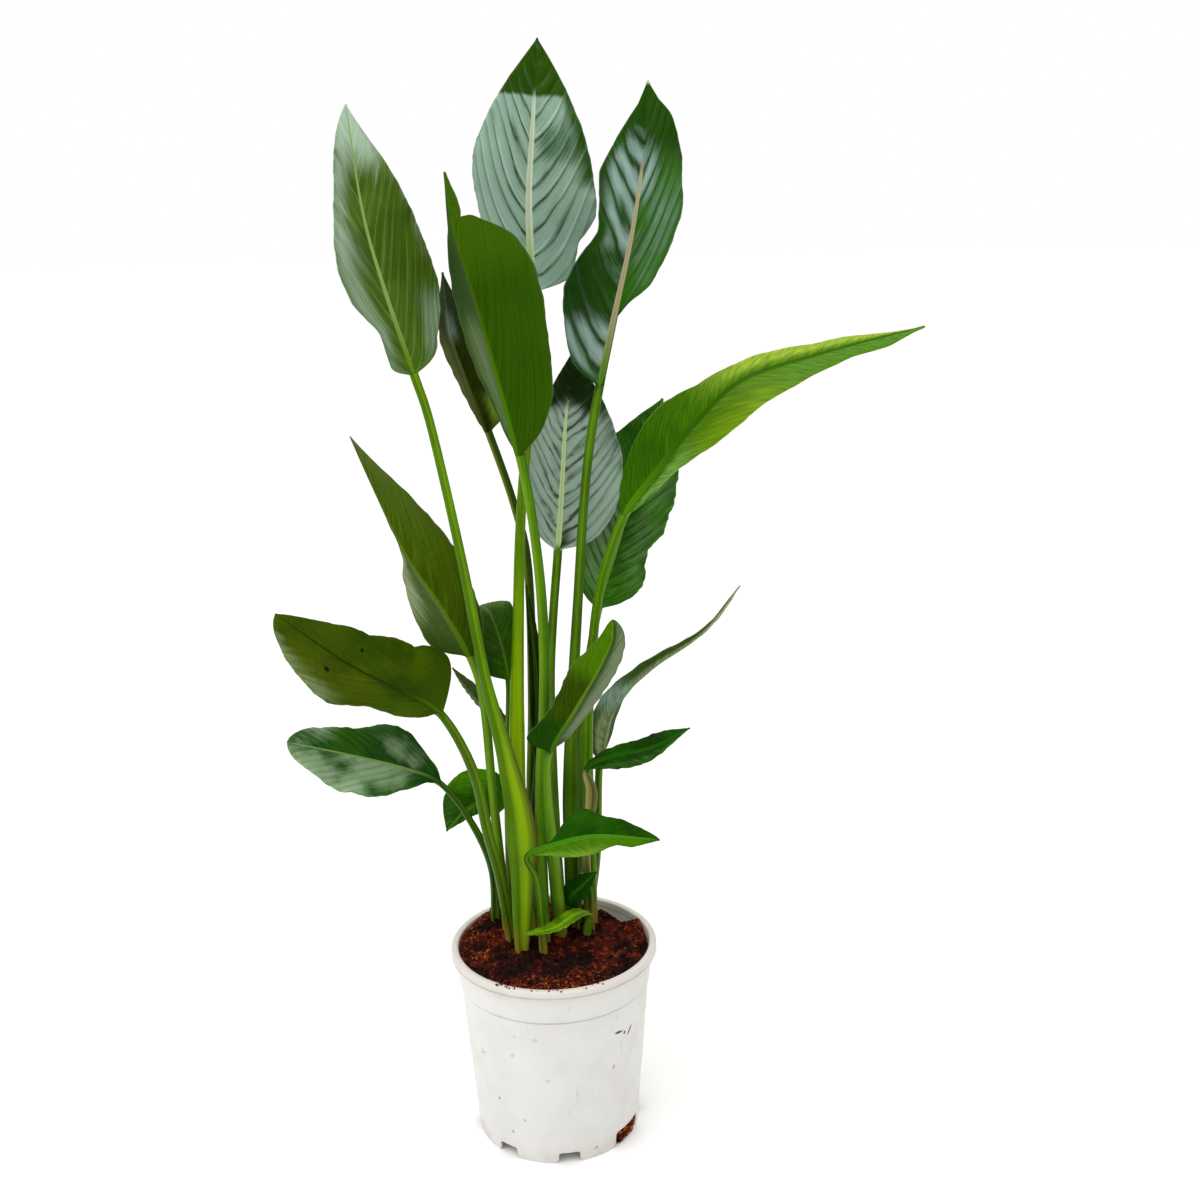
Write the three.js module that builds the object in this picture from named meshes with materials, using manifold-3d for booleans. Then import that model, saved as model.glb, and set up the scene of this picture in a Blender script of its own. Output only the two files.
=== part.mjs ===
// A potted bird of paradise: a clump of paddle leaves on long channelled stalks, standing in
// red-brown coir in a round white plastic nursery pot.
// Millimetres, +Z up. The origin is the centre of the pot's underside, and -Y is the front.

import * as THREE from 'three';
import { mergeVertices } from 'three/addons/utils/BufferGeometryUtils.js';
import Module from 'manifold-3d';

const wasm = await Module();
wasm.setup();

// ---------------------------------------------------------------- driving dimensions

const POT = {
  height: 204,            // ground to the top of the rolled rim
  rimRadius: 105,         // outside of the rolled rim
  rimDepth: 9,            // height of the rolled rim
  mouthRadius: 97.4,      // inside of the rim
  collarTop: 100.4,       // outside, just under the rim
  collarBottom: 97.8,     // outside, at the foot of the collar
  stepBelowRim: 37,       // rim top to the small step
  stepIn: 1.3,            // how far the body lies inside the collar
  baseRadius: 82.9,       // outside, at the ground
  wall: 2.2,
  floorHeight: 11,        // underside of the floor, above the ground
  floorThickness: 2.4,
  bossRadius: 15,         // flat round pad in the middle of the underside
  sides: 48,
};

const FEET = {
  count: 8,
  pitch: 45,              // degrees from notch to notch
  firstNotch: -40,        // degrees from the front, positive towards +X
  notchWidth: 14,         // degrees
  notchHeight: 9,
  drain: { from: 45, to: 73, height: 17, inner: 64 },  // the wide opening, where coir shows
};

const SOIL = {
  top: 196,               // level of the coir at the front edge
  gap: 0.4,               // clear of the pot
  rings: 8,
  spokes: 48,
  swells: [               // [x, y, height, radius]: mounds are positive, hollows are negative
    [-12, 22, 9, 52],
    [-62, 44, 15, 20],
    [60, 56, -9, 34],
    [8, -84, 4, 30],
  ],
  crumb: 1.6,             // height of the small lumps
  holeDepth: 28,
  holePlay: 1.8,          // hole radius beyond the foot's half-width
};

const FOOT_BOTTOM = 174;
const FOOT_TOP = 206;

const BLADE_THICKNESS = 1.0;
const FLAT = [[0, 0], [1, 0]];
const NECK_SPREAD = 0.02; // share of the blade over which the stalk's section opens out
const LARGE = { blade: 13, stalk: 7 };  // sections along a large leaf
const SMALL = { blade: 9, stalk: 4 };

const COLOUR = {
  pot: '#e6e3de',
  coir: '#4a1a0c',
  glossy: '#2b5a1e',      // upper faces, dark and glossy
  mid: '#356303',         // matt mid green
  olive: '#3f5a0c',
  bright: '#5c9408',      // young and backlit leaves
};

// ---------------------------------------------------------------- the leaves
// foot    [x, y, half-width] where the leaf stands in the coir
// stalk   [x, y, z, half-width] points up the stalk; the last is the neck, where the blade starts
// rib     [x, y, z] points along the midrib from the neck to the tip
// half    [left, right] half-widths of the blade, seen on its upper face with the tip up
// widest  [left, right] share of the blade's length from the neck to its widest place
// base    [left, right] 1 is a round base, more is a tapered one
// tip     [left, right] 1 is an even taper, less is a blunt shoulder
// face    the way the upper face looks at the neck, and faceTip at the tip
// fold    how far each half is raised from flat at the neck and at the tip, in degrees
// curl    extra turn of each half from the midrib to the edge, in degrees
// wave    [height, number, shift] of the waves along the edges
// edge    where each half's margin swells or draws in: [share of the blade, mm outwards]

const LEAVES = [
  {
    name: 'leaf_tall_left', size: LARGE, colour: COLOUR.glossy,
    foot: [-32, -17, 7.5],
    stalk: [[-28, -16, 325, 16.5], [-41, -19, 415, 9], [-56, -29, 495, 5.5], [-71, -50, 616, 4.5],
      [-91, -60, 737, 4], [-104, -62, 787, 4]],
    rib: [[-125, -62, 859], [-142, -50, 926], [-155, -22, 1015]],
    half: [36, 59], widest: [0.58, 0.45], base: [1.25, 1.25], tip: [0.8, 1.1],
    edge: [[[0, 12], [0.03, 12], [0.08, 4], [0.18, -6], [0.28, 2], [0.4, 5], [0.5, -1],
      [0.6, -10], [0.7, -11], [0.8, -7], [0.9, -4], [1, 0]],
      [[0, 15], [0.03, 8], [0.1, -3], [0.2, -3], [0.3, -7], [0.4, -13], [0.5, -12], [0.6, -10],
      [0.7, -9], [0.8, -4], [0.9, -2], [1, 0]]],
    face: [0.5, -1, 0.1], faceTip: [0.55, -1, 0.3], fold: [16, 12], curl: -10, wave: [3, 3, 0.1],
  },
  {
    name: 'leaf_top_centre', size: LARGE, colour: COLOUR.glossy,
    foot: [-22, 8, 7.5],
    stalk: [[-32, 15, 297, 8.5], [-31, 22, 424, 8], [-27, 32, 519, 6], [-21, 44, 633, 5],
      [-9, 56, 749, 5], [-4, 64, 850, 5]],
    rib: [[-4, 70, 934], [2, 76, 1006], [8, 86, 1079]],
    half: [57, 66], widest: [0.44, 0.4],
    edge: [[[0, 0], [0.2, -9], [0.3, -9], [0.4, -6], [0.5, -2], [0.6, -1], [1, 0]],
      [[0, 2], [0.05, 2], [0.1, -6], [0.19, -12], [0.26, -3], [0.3, 0], [0.4, -3], [0.5, -5],
      [0.6, -5], [0.7, -5], [0.8, -3], [0.9, -1], [1, 0]]],
    face: [0, -1, 0.2], fold: [12, 8], curl: -8, wave: [2, 3, 0.2],
  },
  {
    name: 'leaf_top_right', size: LARGE, colour: COLOUR.glossy,
    foot: [20, 44, 6.5],
    stalk: [[20, 42, 339, 6], [25, 42, 448, 5.5], [33, 40, 552, 5], [41, 38, 648, 4.5],
      [49, 34, 712, 4.5], [59, 30, 764, 4.5]],
    rib: [[73, 24, 825], [91, 20, 901], [102, 24, 966], [108, 38, 1035]],
    half: [56, 41], widest: [0.38, 0.68], base: [0.8, 1.6], tip: [0.85, 0.8], tail: 0.04,
    edge: [[[0, 0], [0.1, -6], [0.2, -6], [0.3, -3], [0.4, -12], [0.5, -23], [0.6, -12],
      [0.7, 0], [1, 0]],
      [[0, -2], [0.05, -12], [0.1, -19], [0.2, -27], [0.3, -19], [0.36, -8], [0.4, -6],
      [0.5, -2], [0.6, 1], [0.7, -3], [0.8, 1], [0.9, 7], [0.95, 5], [1, 0]]],
    face: [-0.1, -1, 0.1], faceTip: [0.1, -1, 0.3], fold: [16, 10], curl: -14, wave: [4, 3, 0.3],
  },
  {
    name: 'leaf_front_centre', size: LARGE, colour: COLOUR.mid,
    foot: [-9, -4, 6],
    stalk: [[-9, -3, 360, 5.5], [-1, -13, 467, 5.5], [0, -22, 560, 5], [-5, -30, 639, 4.5],
      [-15, -38, 710, 4.5]],
    rib: [[-36, -46, 805], [-52, -48, 866], [-64, -44, 908], [-72, -28, 957]],
    half: [66, 44], widest: [0.6, 0.5], base: [1.3, 1], tip: [0.42, 0.8], tail: 0.17,
    edge: [[[0, 0], [0.2, 0], [0.3, -3], [0.4, -1], [0.5, 4], [0.6, 8], [0.7, 9], [0.8, 0],
      [0.84, 9], [0.9, 8], [0.95, 4], [1, 0]],
      [[0, 0], [0.1, -6], [0.2, -8], [0.3, 0], [0.4, 9], [0.5, 15], [0.6, 17], [0.7, 13],
      [0.8, 12], [0.9, 7], [1, 0]]],
    face: [0.75, 0.8, 0], faceTip: [0.75, 0.6, 0.2], fold: [24, 20], curl: -12, wave: [2, 2, 0.2],
  },
  {
    name: 'leaf_behind_left', size: LARGE, colour: COLOUR.olive,
    foot: [-22, 58, 5.5],
    stalk: [[-22, 64, 331, 5], [-17, 68, 440, 5], [-17, 74, 576, 4.5], [-29, 78, 642, 4],
      [-52, 84, 715, 4]],
    rib: [[-70, 86, 766], [-83, 84, 810], [-89, 78, 870]],
    half: [26, 26], widest: [0.4, 0.4],
    edge: [[[0, 2], [0.05, 9], [0.12, 7], [0.2, 0], [1, 0]],
      [[0, 0], [0.1, 3], [0.2, 5], [0.3, 7], [0.4, 9], [0.5, 12], [0.6, 12], [0.7, 5], [1, 0]]],
    face: [0.6, 0.7, 0.4], fold: [30, 20], curl: -10,
  },
  {
    name: 'leaf_middle_back', size: LARGE, colour: COLOUR.glossy,
    foot: [4, 26, 6],
    stalk: [[-2, 36, 321, 5.5], [1, 48, 457, 5], [7, 58, 527, 4.5], [14, 66, 598, 4.5]],
    rib: [[20, 72, 667], [25, 78, 726], [34, 86, 793]],
    half: [36, 60], widest: [0.45, 0.45],
    edge: [[[0, 0], [0.4, 0], [0.5, 2], [0.6, -3], [0.8, -2], [1, 0]],
      [[0, 0], [0.3, 2], [0.6, -3], [1, 0]]],
    face: [-0.1, -1, 0.25], fold: [10, 8], curl: -10, wave: [3, 3, 0.4],
  },
  {
    name: 'leaf_arching_right', size: LARGE, colour: COLOUR.bright,
    foot: [38, 54, 6],
    stalk: [[38, 52, 290, 6], [39, 48, 402, 5.5], [46, 42, 500, 5], [57, 36, 573, 4.5],
      [80, 30, 638, 4.5]],
    rib: [[108, 24, 677], [146, 14, 726], [190, 4, 768], [256, -8, 791], [352, -22, 816]],
    half: [42, 40], widest: [0.3, 0.3], tip: [1.3, 1.3],
    edge: [[[0, -8], [0.1, -6], [0.2, -2], [0.3, -1], [0.4, -13], [0.5, -18], [0.6, -14],
      [0.7, -10], [0.8, -3], [1, 0]],
      [[0, -10], [0.1, -18], [0.2, -18], [0.3, -8], [0.4, 3], [0.5, 11], [0.6, 10], [0.7, 4],
      [0.8, 2], [0.9, 9], [1, 0]]],
    face: [-0.35, -0.75, 0.5], faceTip: [-0.2, -0.7, 0.8], fold: [22, 16], curl: -14,
    wave: [2, 2, 0],
  },
  {
    name: 'leaf_behind_right', size: LARGE, colour: COLOUR.glossy,
    foot: [22, 66, 6],
    stalk: [[29, 72, 326, 5], [36, 82, 434, 4.5], [53, 92, 530, 4.5]],
    rib: [[75, 98, 599], [98, 104, 670], [122, 112, 741]],
    half: [40, 40], widest: [0.45, 0.45],
    edge: [[[0, 0], [0.1, -3], [0.3, 0], [0.5, 4], [0.7, 13], [0.8, 11], [0.9, 6], [1, 0]],
      [[0, 0], [0.1, 5], [0.2, 5], [0.27, -5], [0.33, -6], [0.4, 1], [0.5, 3], [0.7, 9],
      [0.85, 5], [1, 0]]],
    face: [-0.1, -1, 0.3], fold: [8, 6], curl: -8, wave: [4, 3, 0.2],
  },
  {
    name: 'leaf_narrow_left', size: LARGE, colour: COLOUR.olive,
    foot: [-48, 18, 5.5],
    stalk: [[-53, 6, 302, 5], [-57, 2, 379, 4.5], [-61, -4, 465, 4.5], [-72, -8, 512, 4]],
    rib: [[-97, -14, 566], [-124, -18, 614], [-150, -22, 678], [-169, -28, 729]],
    half: [45, 47], widest: [0.42, 0.25], tip: [0.8, 1.8],
    edge: [[[0, -4], [0.2, -6], [0.3, -4], [0.4, 2], [0.5, 8], [0.6, 11], [0.7, 14], [0.8, 17],
      [0.9, 13], [1, 0]],
      [[0, 5], [0.1, 3], [0.2, -1], [0.3, -2], [0.4, -8], [0.46, -22], [0.53, -27], [0.6, -17],
      [0.7, -3], [1, 0]]],
    face: [0.1, 1, 0.2], faceTip: [0.95, 0.2, 0.2], fold: [22, 20], curl: -8,
  },
  {
    name: 'leaf_broad_left', size: LARGE, colour: COLOUR.olive,
    foot: [-44, 2, 6],
    stalk: [[-51, -14, 279, 5.5], [-60, -28, 334, 5.5], [-71, -42, 408, 5], [-97, -58, 471, 4]],
    rib: [[-131, -76, 501], [-176, -92, 534], [-231, -110, 585]],
    half: [46, 48], widest: [0.62, 0.25], base: [1.3, 0.8], tip: [0.55, 0.9],
    edge: [[[0, -4], [0.2, -5], [0.3, -8], [0.4, -13], [0.5, -6], [0.6, 3], [0.7, 0],
      [0.8, -3], [0.9, -4], [1, 0]],
      [[0, 34], [0.04, 34], [0.1, 25], [0.2, 9], [0.3, 10], [0.4, 6], [0.5, -2], [0.6, 1],
      [1, 0]]],
    face: [0.3, -0.55, 0.75], faceTip: [0.1, -0.6, 0.8], fold: [8, 6], curl: -16,
    wave: [3, 2, 0.1],
  },
  {
    name: 'leaf_low_left', size: LARGE, colour: COLOUR.glossy,
    foot: [-62, 34, 5],
    stalk: [[-62, 22, 274, 4.5], [-81, 8, 334, 3.5], [-107, -8, 381, 3]],
    rib: [[-139, -22, 403], [-188, -40, 425], [-242, -60, 447]],
    half: [40, 40], widest: [0.6, 0.5], base: [1.4, 1.2], tip: [0.55, 0.6],
    edge: [[[0, -4], [0.1, -10], [0.2, -6], [0.3, -4], [0.4, 1], [0.5, 6], [0.6, 2], [1, 0]],
      [[0, 0], [0.1, 0], [0.17, 8], [0.22, 11], [0.3, 7], [0.4, 7], [0.5, 0], [0.6, -9],
      [0.7, -7], [0.85, -1], [1, 0]]],
    face: [0.2, -0.55, 0.8], fold: [8, 6], curl: -12, wave: [3, 3, 0.3],
  },
  {
    name: 'leaf_small_left', size: SMALL, colour: COLOUR.olive,
    foot: [-64, 52, 4.5],
    stalk: [[-61, 52, 247, 4], [-58, 46, 290, 3.5], [-60, 38, 325, 3]],
    rib: [[-73, 30, 342], [-89, 22, 336], [-106, 14, 320]],
    half: [10, 36], widest: [0.4, 0.35],
    face: [0.1, -0.9, 0.4], fold: [8, 5], curl: -10,
  },
  {
    name: 'leaf_folded_front', size: LARGE, colour: COLOUR.mid,
    foot: [6, 8, 5.5],
    stalk: [[4, 0, 244, 5], [1, -13, 313, 4.5], [-1, -25, 380, 4.5], [3, -34, 423, 4]],
    rib: [[28, -42, 468], [52, -48, 510], [64, -50, 536], [66, -48, 556]],
    half: [35, 36], widest: [0.6, 0.38], base: [0.8, 0.6], tip: [0.6, 0.7],
    edge: [[[0, 8], [0.05, 4], [0.2, 0], [1, 0]],
      [[0, 8], [0.05, 6], [0.1, 1], [0.2, -9], [0.3, -12], [0.4, -12], [0.5, -9], [0.6, -4],
      [0.8, -3], [1, 0]]],
    face: [-0.6, 0.8, 0.2], fold: [26, 26], curl: -22,
  },
  {
    name: 'leaf_thin_right', size: SMALL, colour: COLOUR.olive,
    foot: [38, 74, 5],
    stalk: [[46, 82, 265, 4.5], [51, 88, 366, 4]],
    rib: [[65, 80, 426], [104, 66, 472], [154, 50, 512], [192, 30, 566]],
    half: [30, 26], widest: [0.4, 0.4],
    edge: [[[0, 0], [0.3, 0], [0.4, 4], [0.5, 10], [0.6, 7], [0.8, 5], [0.9, 4], [1, 0]],
      [[0, 0], [0.3, -3], [0.5, -9], [0.8, -11], [0.9, -7], [1, 0]]],
    face: [-0.5, 0.55, 0.6], fold: [24, 20], curl: -10,
  },
  {
    name: 'leaf_small_right', size: SMALL, colour: COLOUR.glossy,
    foot: [37, 34, 5],
    stalk: [[35, 26, 290, 4.5], [42, 22, 352, 6.5], [38, 16, 383, 3]],
    rib: [[61, 8, 399], [101, -4, 412], [139, -18, 437]],
    half: [27, 24], widest: [0.45, 0.45],
    edge: [[[0, -6], [0.1, -14], [0.3, -16], [0.5, -14], [0.6, -9], [0.7, -5], [0.8, -2],
      [1, 0]],
      [[0, -6], [0.1, -9], [0.2, -9], [0.3, -7], [0.5, -6], [0.8, -3], [1, 0]]],
    face: [-0.3, -0.8, 0.5], faceTip: [-0.1, -0.3, 1], fold: [14, 8], curl: -14,
  },
  {
    name: 'leaf_low_right', size: SMALL, colour: COLOUR.bright,
    foot: [-10, -22, 4.5],
    stalk: [[-13, -28, 280, 3.5], [-22, -35, 313, 3]],
    rib: [[11, -44, 331], [50, -52, 341], [107, -62, 340]],
    half: [38, 22], widest: [0.5, 0.4], base: [3, 1], tip: [0.8, 0.9],
    edge: [[[0, 0], [0.1, -9], [0.2, -18], [0.3, -17], [0.4, -10], [0.5, -10], [0.6, -18],
      [0.7, -15], [0.8, -12], [0.9, -7], [1, 0]],
      [[0, -4], [0.1, -9], [0.2, -9], [0.3, -6], [0.4, -4], [0.5, -2], [0.6, -4], [0.7, -8],
      [0.8, -2], [1, 0]]],
    face: [0, -0.8, 0.6], fold: [16, 10], curl: -16, wave: [2, 2, 0.2],
  },
  {
    name: 'leaf_lowest_front', size: SMALL, colour: COLOUR.bright,
    foot: [34, 14, 4.5],
    stalk: [[37, 9, 227, 3]],
    rib: [[25, -9, 237], [1, -35, 235], [-25, -50, 237]],
    half: [9, 11], widest: [0.55, 0.55], tip: [0.6, 0.6],
    face: [0.6, 0.6, 0.6], faceTip: [0, 0, 1], fold: [10, 8], curl: -6,
  },
  {
    name: 'leaf_lowest_dark', size: SMALL, colour: COLOUR.glossy,
    foot: [22, 26, 4.5],
    stalk: [[18, 14, 225, 3.5], [16, 6, 238, 3]],
    rib: [[20, 1, 252], [30, -3, 264], [45, -8, 282]],
    half: [14, 12], widest: [0.4, 0.4],
    face: [-0.2, -0.8, 0.6], fold: [10, 6], curl: -10,
  },
  {
    name: 'leaf_dark_arching', size: LARGE, colour: COLOUR.glossy,
    foot: [-30, 30, 6],
    stalk: [[-40, 38, 342, 4.5], [-40, 42, 418, 4], [-39, 44, 470, 3.5]],
    rib: [[-47, 48, 514], [-61, 62, 541], [-84, 96, 525], [-107, 128, 477]],
    half: [38, 28], widest: [0.4, 0.4],
    face: [0.5, -0.8, 0.2], faceTip: [-0.3, 0.4, 0.8], fold: [10, 6], curl: -20,
  },
  {
    name: 'leaf_narrow_back', size: SMALL, colour: COLOUR.olive,
    foot: [-46, 46, 5],
    stalk: [[-46, 62, 312, 4.5], [-44, 66, 377, 4], [-51, 60, 414, 3.5]],
    rib: [[-67, 52, 441], [-80, 46, 462], [-94, 38, 486]],
    half: [14, 14], widest: [0.35, 0.35],
    face: [0.5, 0.6, 0.5], fold: [26, 20], curl: -6,
  },
  {
    name: 'leaf_young_rolled', size: SMALL, colour: COLOUR.glossy,
    foot: [-14, 38, 5.5],
    stalk: [[-18, 50, 305, 5], [-13, 56, 380, 4]],
    rib: [[-12, 58, 454], [-14, 60, 507], [-19, 60, 564]],
    half: [11, 11], widest: [0.35, 0.35],
    face: [0.3, -1, 0.1], fold: [46, 42], curl: 0,
  },
];

// ---------------------------------------------------------------- helpers

const radians = THREE.MathUtils.degToRad;

// One section of a leaf has 14 corners: seven along the upper face from the left edge to the
// right, and seven back along the underside. BLADE_COLUMNS gives each corner's place across the
// blade, and STALK_SECTION the same corner on a channelled stalk of half-width 1.
const BLADE_COLUMNS = [-1, -0.5, -0.09, 0, 0.09, 0.5, 1, 1, 0.5, 0.09, 0, -0.09, -0.5, -1];
const STALK_SECTION = [
  [-0.62, 0.72], [-0.45, 0.62], [-0.2, 0.42], [0, 0.36], [0.2, 0.42], [0.45, 0.62], [0.62, 0.72],
  [0.98, 0.15], [0.86, -0.5], [0.45, -0.88], [0, -1], [-0.45, -0.88], [-0.86, -0.5], [-0.98, 0.15],
];
const CORNERS = BLADE_COLUMNS.length;
const UPPER_CORNERS = CORNERS / 2;

function closedGeometry(positions, triangles) {
  const geometry = new THREE.BufferGeometry();
  geometry.setAttribute('position', new THREE.Float32BufferAttribute(positions, 3));
  geometry.setIndex(triangles);
  return geometry;
}

function toSolid(geometry) {
  const bare = geometry.clone();
  bare.deleteAttribute('normal');
  bare.deleteAttribute('uv');
  const merged = mergeVertices(bare, 1e-4);
  return new wasm.Manifold(new wasm.Mesh({
    numProp: 3,
    vertProperties: new Float32Array(merged.attributes.position.array),
    triVerts: new Uint32Array(merged.index.array),
  }));
}

function toGeometry(solid) {
  const mesh = solid.getMesh();
  return closedGeometry(Array.from(mesh.vertProperties), Array.from(mesh.triVerts));
}

// A closed profile of [radius, height] points turned about the Z axis.
function turned(profile, sides) {
  const points = profile.map(([r, z]) => new THREE.Vector2(r, z));
  return new THREE.LatheGeometry(points, sides).rotateX(Math.PI / 2);
}

// A piece of a ring from one angle to another, in degrees from the front (-Y) towards +X.
function sector(inner, outer, from, to, low, high) {
  const start = radians(from - 90);
  const end = radians(to - 90);
  const shape = new THREE.Shape();
  shape.absarc(0, 0, outer, start, end, false);
  shape.absarc(0, 0, inner, end, start, true);
  const block = new THREE.ExtrudeGeometry(shape,
    { depth: high - low, bevelEnabled: false, curveSegments: 4 });
  return block.translate(0, 0, low);
}

function named(name, geometry, colour, roughness) {
  const mesh = new THREE.Mesh(geometry,
    new THREE.MeshStandardMaterial({ color: colour, roughness, metalness: 0 }));
  mesh.name = name;
  return mesh;
}

// ---------------------------------------------------------------- pot

// Outer radius of the pot's body, which tapers evenly from the ground to the step.
function bodyRadius(z) {
  const stepHeight = POT.height - POT.stepBelowRim;
  const top = POT.collarBottom - POT.stepIn;
  return THREE.MathUtils.lerp(POT.baseRadius, top, z / stepHeight);
}

// Inner radius, from the floor up to the mouth.
function innerRadius(z) {
  const stepHeight = POT.height - POT.stepBelowRim;
  if (z < stepHeight) return bodyRadius(z) - POT.wall;
  const share = (z - stepHeight) / (POT.height - stepHeight);
  return THREE.MathUtils.lerp(bodyRadius(stepHeight) - POT.wall, POT.mouthRadius, share);
}

function potProfile() {
  const { height, rimRadius, rimDepth, floorHeight, floorThickness, bossRadius } = POT;
  const step = height - POT.stepBelowRim;
  const under = height - rimDepth;
  const floorTop = floorHeight + floorThickness;
  const middle = (rimRadius + POT.mouthRadius) / 2;
  return [
    [0, 0], [bossRadius, 0], [bossRadius, floorHeight],
    [innerRadius(floorHeight), floorHeight], [innerRadius(0), 0], [POT.baseRadius, 0],
    [bodyRadius(step - 1), step - 1], [POT.collarBottom, step + 0.5],
    [POT.collarTop, under - 1], [rimRadius - 1.4, under], [rimRadius, under + 2],
    [rimRadius - 0.2, height - 3], [rimRadius - 2, height - 0.6], [middle, height],
    [POT.mouthRadius + 0.8, height - 0.8], [POT.mouthRadius, height - 3],
    [innerRadius(step), step], [innerRadius(floorTop), floorTop], [0, floorTop],
  ];
}

function notchCutters() {
  const cutters = [];
  const outer = POT.rimRadius;
  for (let i = 0; i < FEET.count; i += 1) {
    const middle = FEET.firstNotch + i * FEET.pitch;
    const inDrain = middle > FEET.drain.from - FEET.notchWidth && middle < FEET.drain.to;
    if (inDrain) continue;
    const half = FEET.notchWidth / 2;
    cutters.push(sector(POT.bossRadius * 3, outer, middle - half, middle + half,
      -1, FEET.notchHeight));
  }
  const { from, to, height, inner } = FEET.drain;
  cutters.push(sector(inner, outer, from, to, -1, height));
  return cutters;
}

function makePot() {
  let pot = toSolid(turned(potProfile(), POT.sides));
  for (const cutter of notchCutters()) pot = pot.subtract(toSolid(cutter));
  return named('pot', toGeometry(pot), COLOUR.pot, 0.55);
}

// ---------------------------------------------------------------- soil

function soilHeight(x, y) {
  let z = SOIL.top;
  for (const [cx, cy, height, radius] of SOIL.swells) {
    z += height * Math.exp(-((x - cx) ** 2 + (y - cy) ** 2) / radius ** 2);
  }
  const lumps = Math.sin(x * 0.31 + 1) * Math.cos(y * 0.27) + Math.sin(x * 0.13 - y * 0.22);
  return z + SOIL.crumb * lumps / 2;
}

// The plug of coir: its top follows soilHeight, and its side follows the inside of the pot down
// to two further rings, at the pot's step and at its floor.
function soilPlug() {
  const floor = POT.floorHeight + POT.floorThickness + SOIL.gap;
  const sideLevels = [POT.height - POT.stepBelowRim, floor];
  const clear = SOIL.gap + 0.2;
  const edge = innerRadius(SOIL.top - SOIL.crumb) - clear;
  const rings = SOIL.rings + sideLevels.length;
  const positions = [0, 0, soilHeight(0, 0)];
  const triangles = [];
  const at = (ring, spoke) => 1 + (ring - 1) * SOIL.spokes + (spoke % SOIL.spokes);
  for (let ring = 1; ring <= rings; ring += 1) {
    const level = sideLevels[ring - SOIL.rings - 1];
    for (let spoke = 0; spoke < SOIL.spokes; spoke += 1) {
      const angle = 2 * Math.PI * spoke / SOIL.spokes;
      const radius = level === undefined
        ? edge * Math.sqrt(ring / SOIL.rings) : innerRadius(level) - clear;
      const x = radius * Math.cos(angle);
      const y = radius * Math.sin(angle);
      positions.push(x, y, level ?? soilHeight(x, y));
      const next = spoke + 1;
      if (ring === 1) {
        triangles.push(0, at(1, spoke), at(1, next));
      } else {
        triangles.push(at(ring - 1, spoke), at(ring, spoke), at(ring, next));
        triangles.push(at(ring - 1, spoke), at(ring, next), at(ring - 1, next));
      }
    }
  }
  const centre = positions.length / 3;
  positions.push(0, 0, floor);
  for (let spoke = 0; spoke < SOIL.spokes; spoke += 1) {
    triangles.push(centre, at(rings, spoke + 1), at(rings, spoke));
  }
  return closedGeometry(positions, triangles);
}

// The coir that bulges into the wide drain opening, down almost to the ground.
function soilInDrain() {
  const { from, to, inner } = FEET.drain;
  const outer = bodyRadius(0) - 3;
  return sector(inner + 1, outer, from + 1, to - 1, 2, 2 * POT.floorHeight);
}

function makeSoil() {
  let soil = toSolid(soilPlug()).add(toSolid(soilInDrain()));
  for (const { foot: [x, y, halfWidth] } of LEAVES) {
    const hole = new THREE.CylinderGeometry(halfWidth + SOIL.holePlay, halfWidth + SOIL.holePlay,
      100, 12).rotateX(Math.PI / 2).translate(x, y, FOOT_BOTTOM - SOIL.gap + 50);
    soil = soil.subtract(toSolid(hole));
  }
  return named('soil', toGeometry(soil), COLOUR.coir, 1);
}

// ---------------------------------------------------------------- leaves

// Half-width of a blade at share t of its length, as a share of its greatest half-width.
function outline(t, widest, base, tip, tail) {
  const s = t / (1 - tail);
  if (s >= 1) return 0;
  if (s < widest) return (1 - ((widest - s) / widest) ** 2) ** (0.5 * base);
  return Math.cos(Math.PI / 2 * (s - widest) / (1 - widest)) ** tip;
}

// Shares along the blade, closer together near the neck and the tip.
function bladeShares(count) {
  return Array.from({ length: count + 1 }, (_, i) => {
    const s = i / count;
    return 0.55 * (1 - Math.cos(Math.PI * s)) / 2 + 0.45 * s;
  });
}

// The leaf's whole middle line, from its foot up the stalk and along the midrib.
function middleLine(leaf) {
  const [x, y, halfWidth] = leaf.foot;
  const stalk = [[x, y, FOOT_BOTTOM, halfWidth], [x, y, FOOT_TOP, halfWidth], ...leaf.stalk];
  const points = [...stalk, ...leaf.rib].map(([px, py, pz]) => new THREE.Vector3(px, py, pz));
  const curve = new THREE.CatmullRomCurve3(points, false, 'catmullrom', 0.5);
  const spans = points.length - 1;
  const neck = stalk.length - 1;
  return { curve, spans, neck, halfWidths: stalk.map((p) => p[3]) };
}

// The curve's own parameter, in spans, at each share of the blade's length.
function bladeStations(line, shares) {
  const steps = 40;
  const lengths = [0];
  let last = line.curve.getPoint(line.neck / line.spans);
  const count = (line.spans - line.neck) * steps;
  for (let i = 1; i <= count; i += 1) {
    const point = line.curve.getPoint((line.neck + i / steps) / line.spans);
    lengths.push(lengths[i - 1] + point.distanceTo(last));
    last = point;
  }
  return shares.map((share) => {
    const wanted = share * lengths[count];
    let i = 1;
    while (i < count && lengths[i] < wanted) i += 1;
    const within = (wanted - lengths[i - 1]) / (lengths[i] - lengths[i - 1]);
    return line.neck + (i - 1 + within) / steps;
  });
}

function widthAlongStalk(line, station) {
  const i = Math.min(Math.floor(station), line.neck - 1);
  return THREE.MathUtils.lerp(line.halfWidths[i], line.halfWidths[i + 1],
    Math.min(station - i, 1));
}

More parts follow.
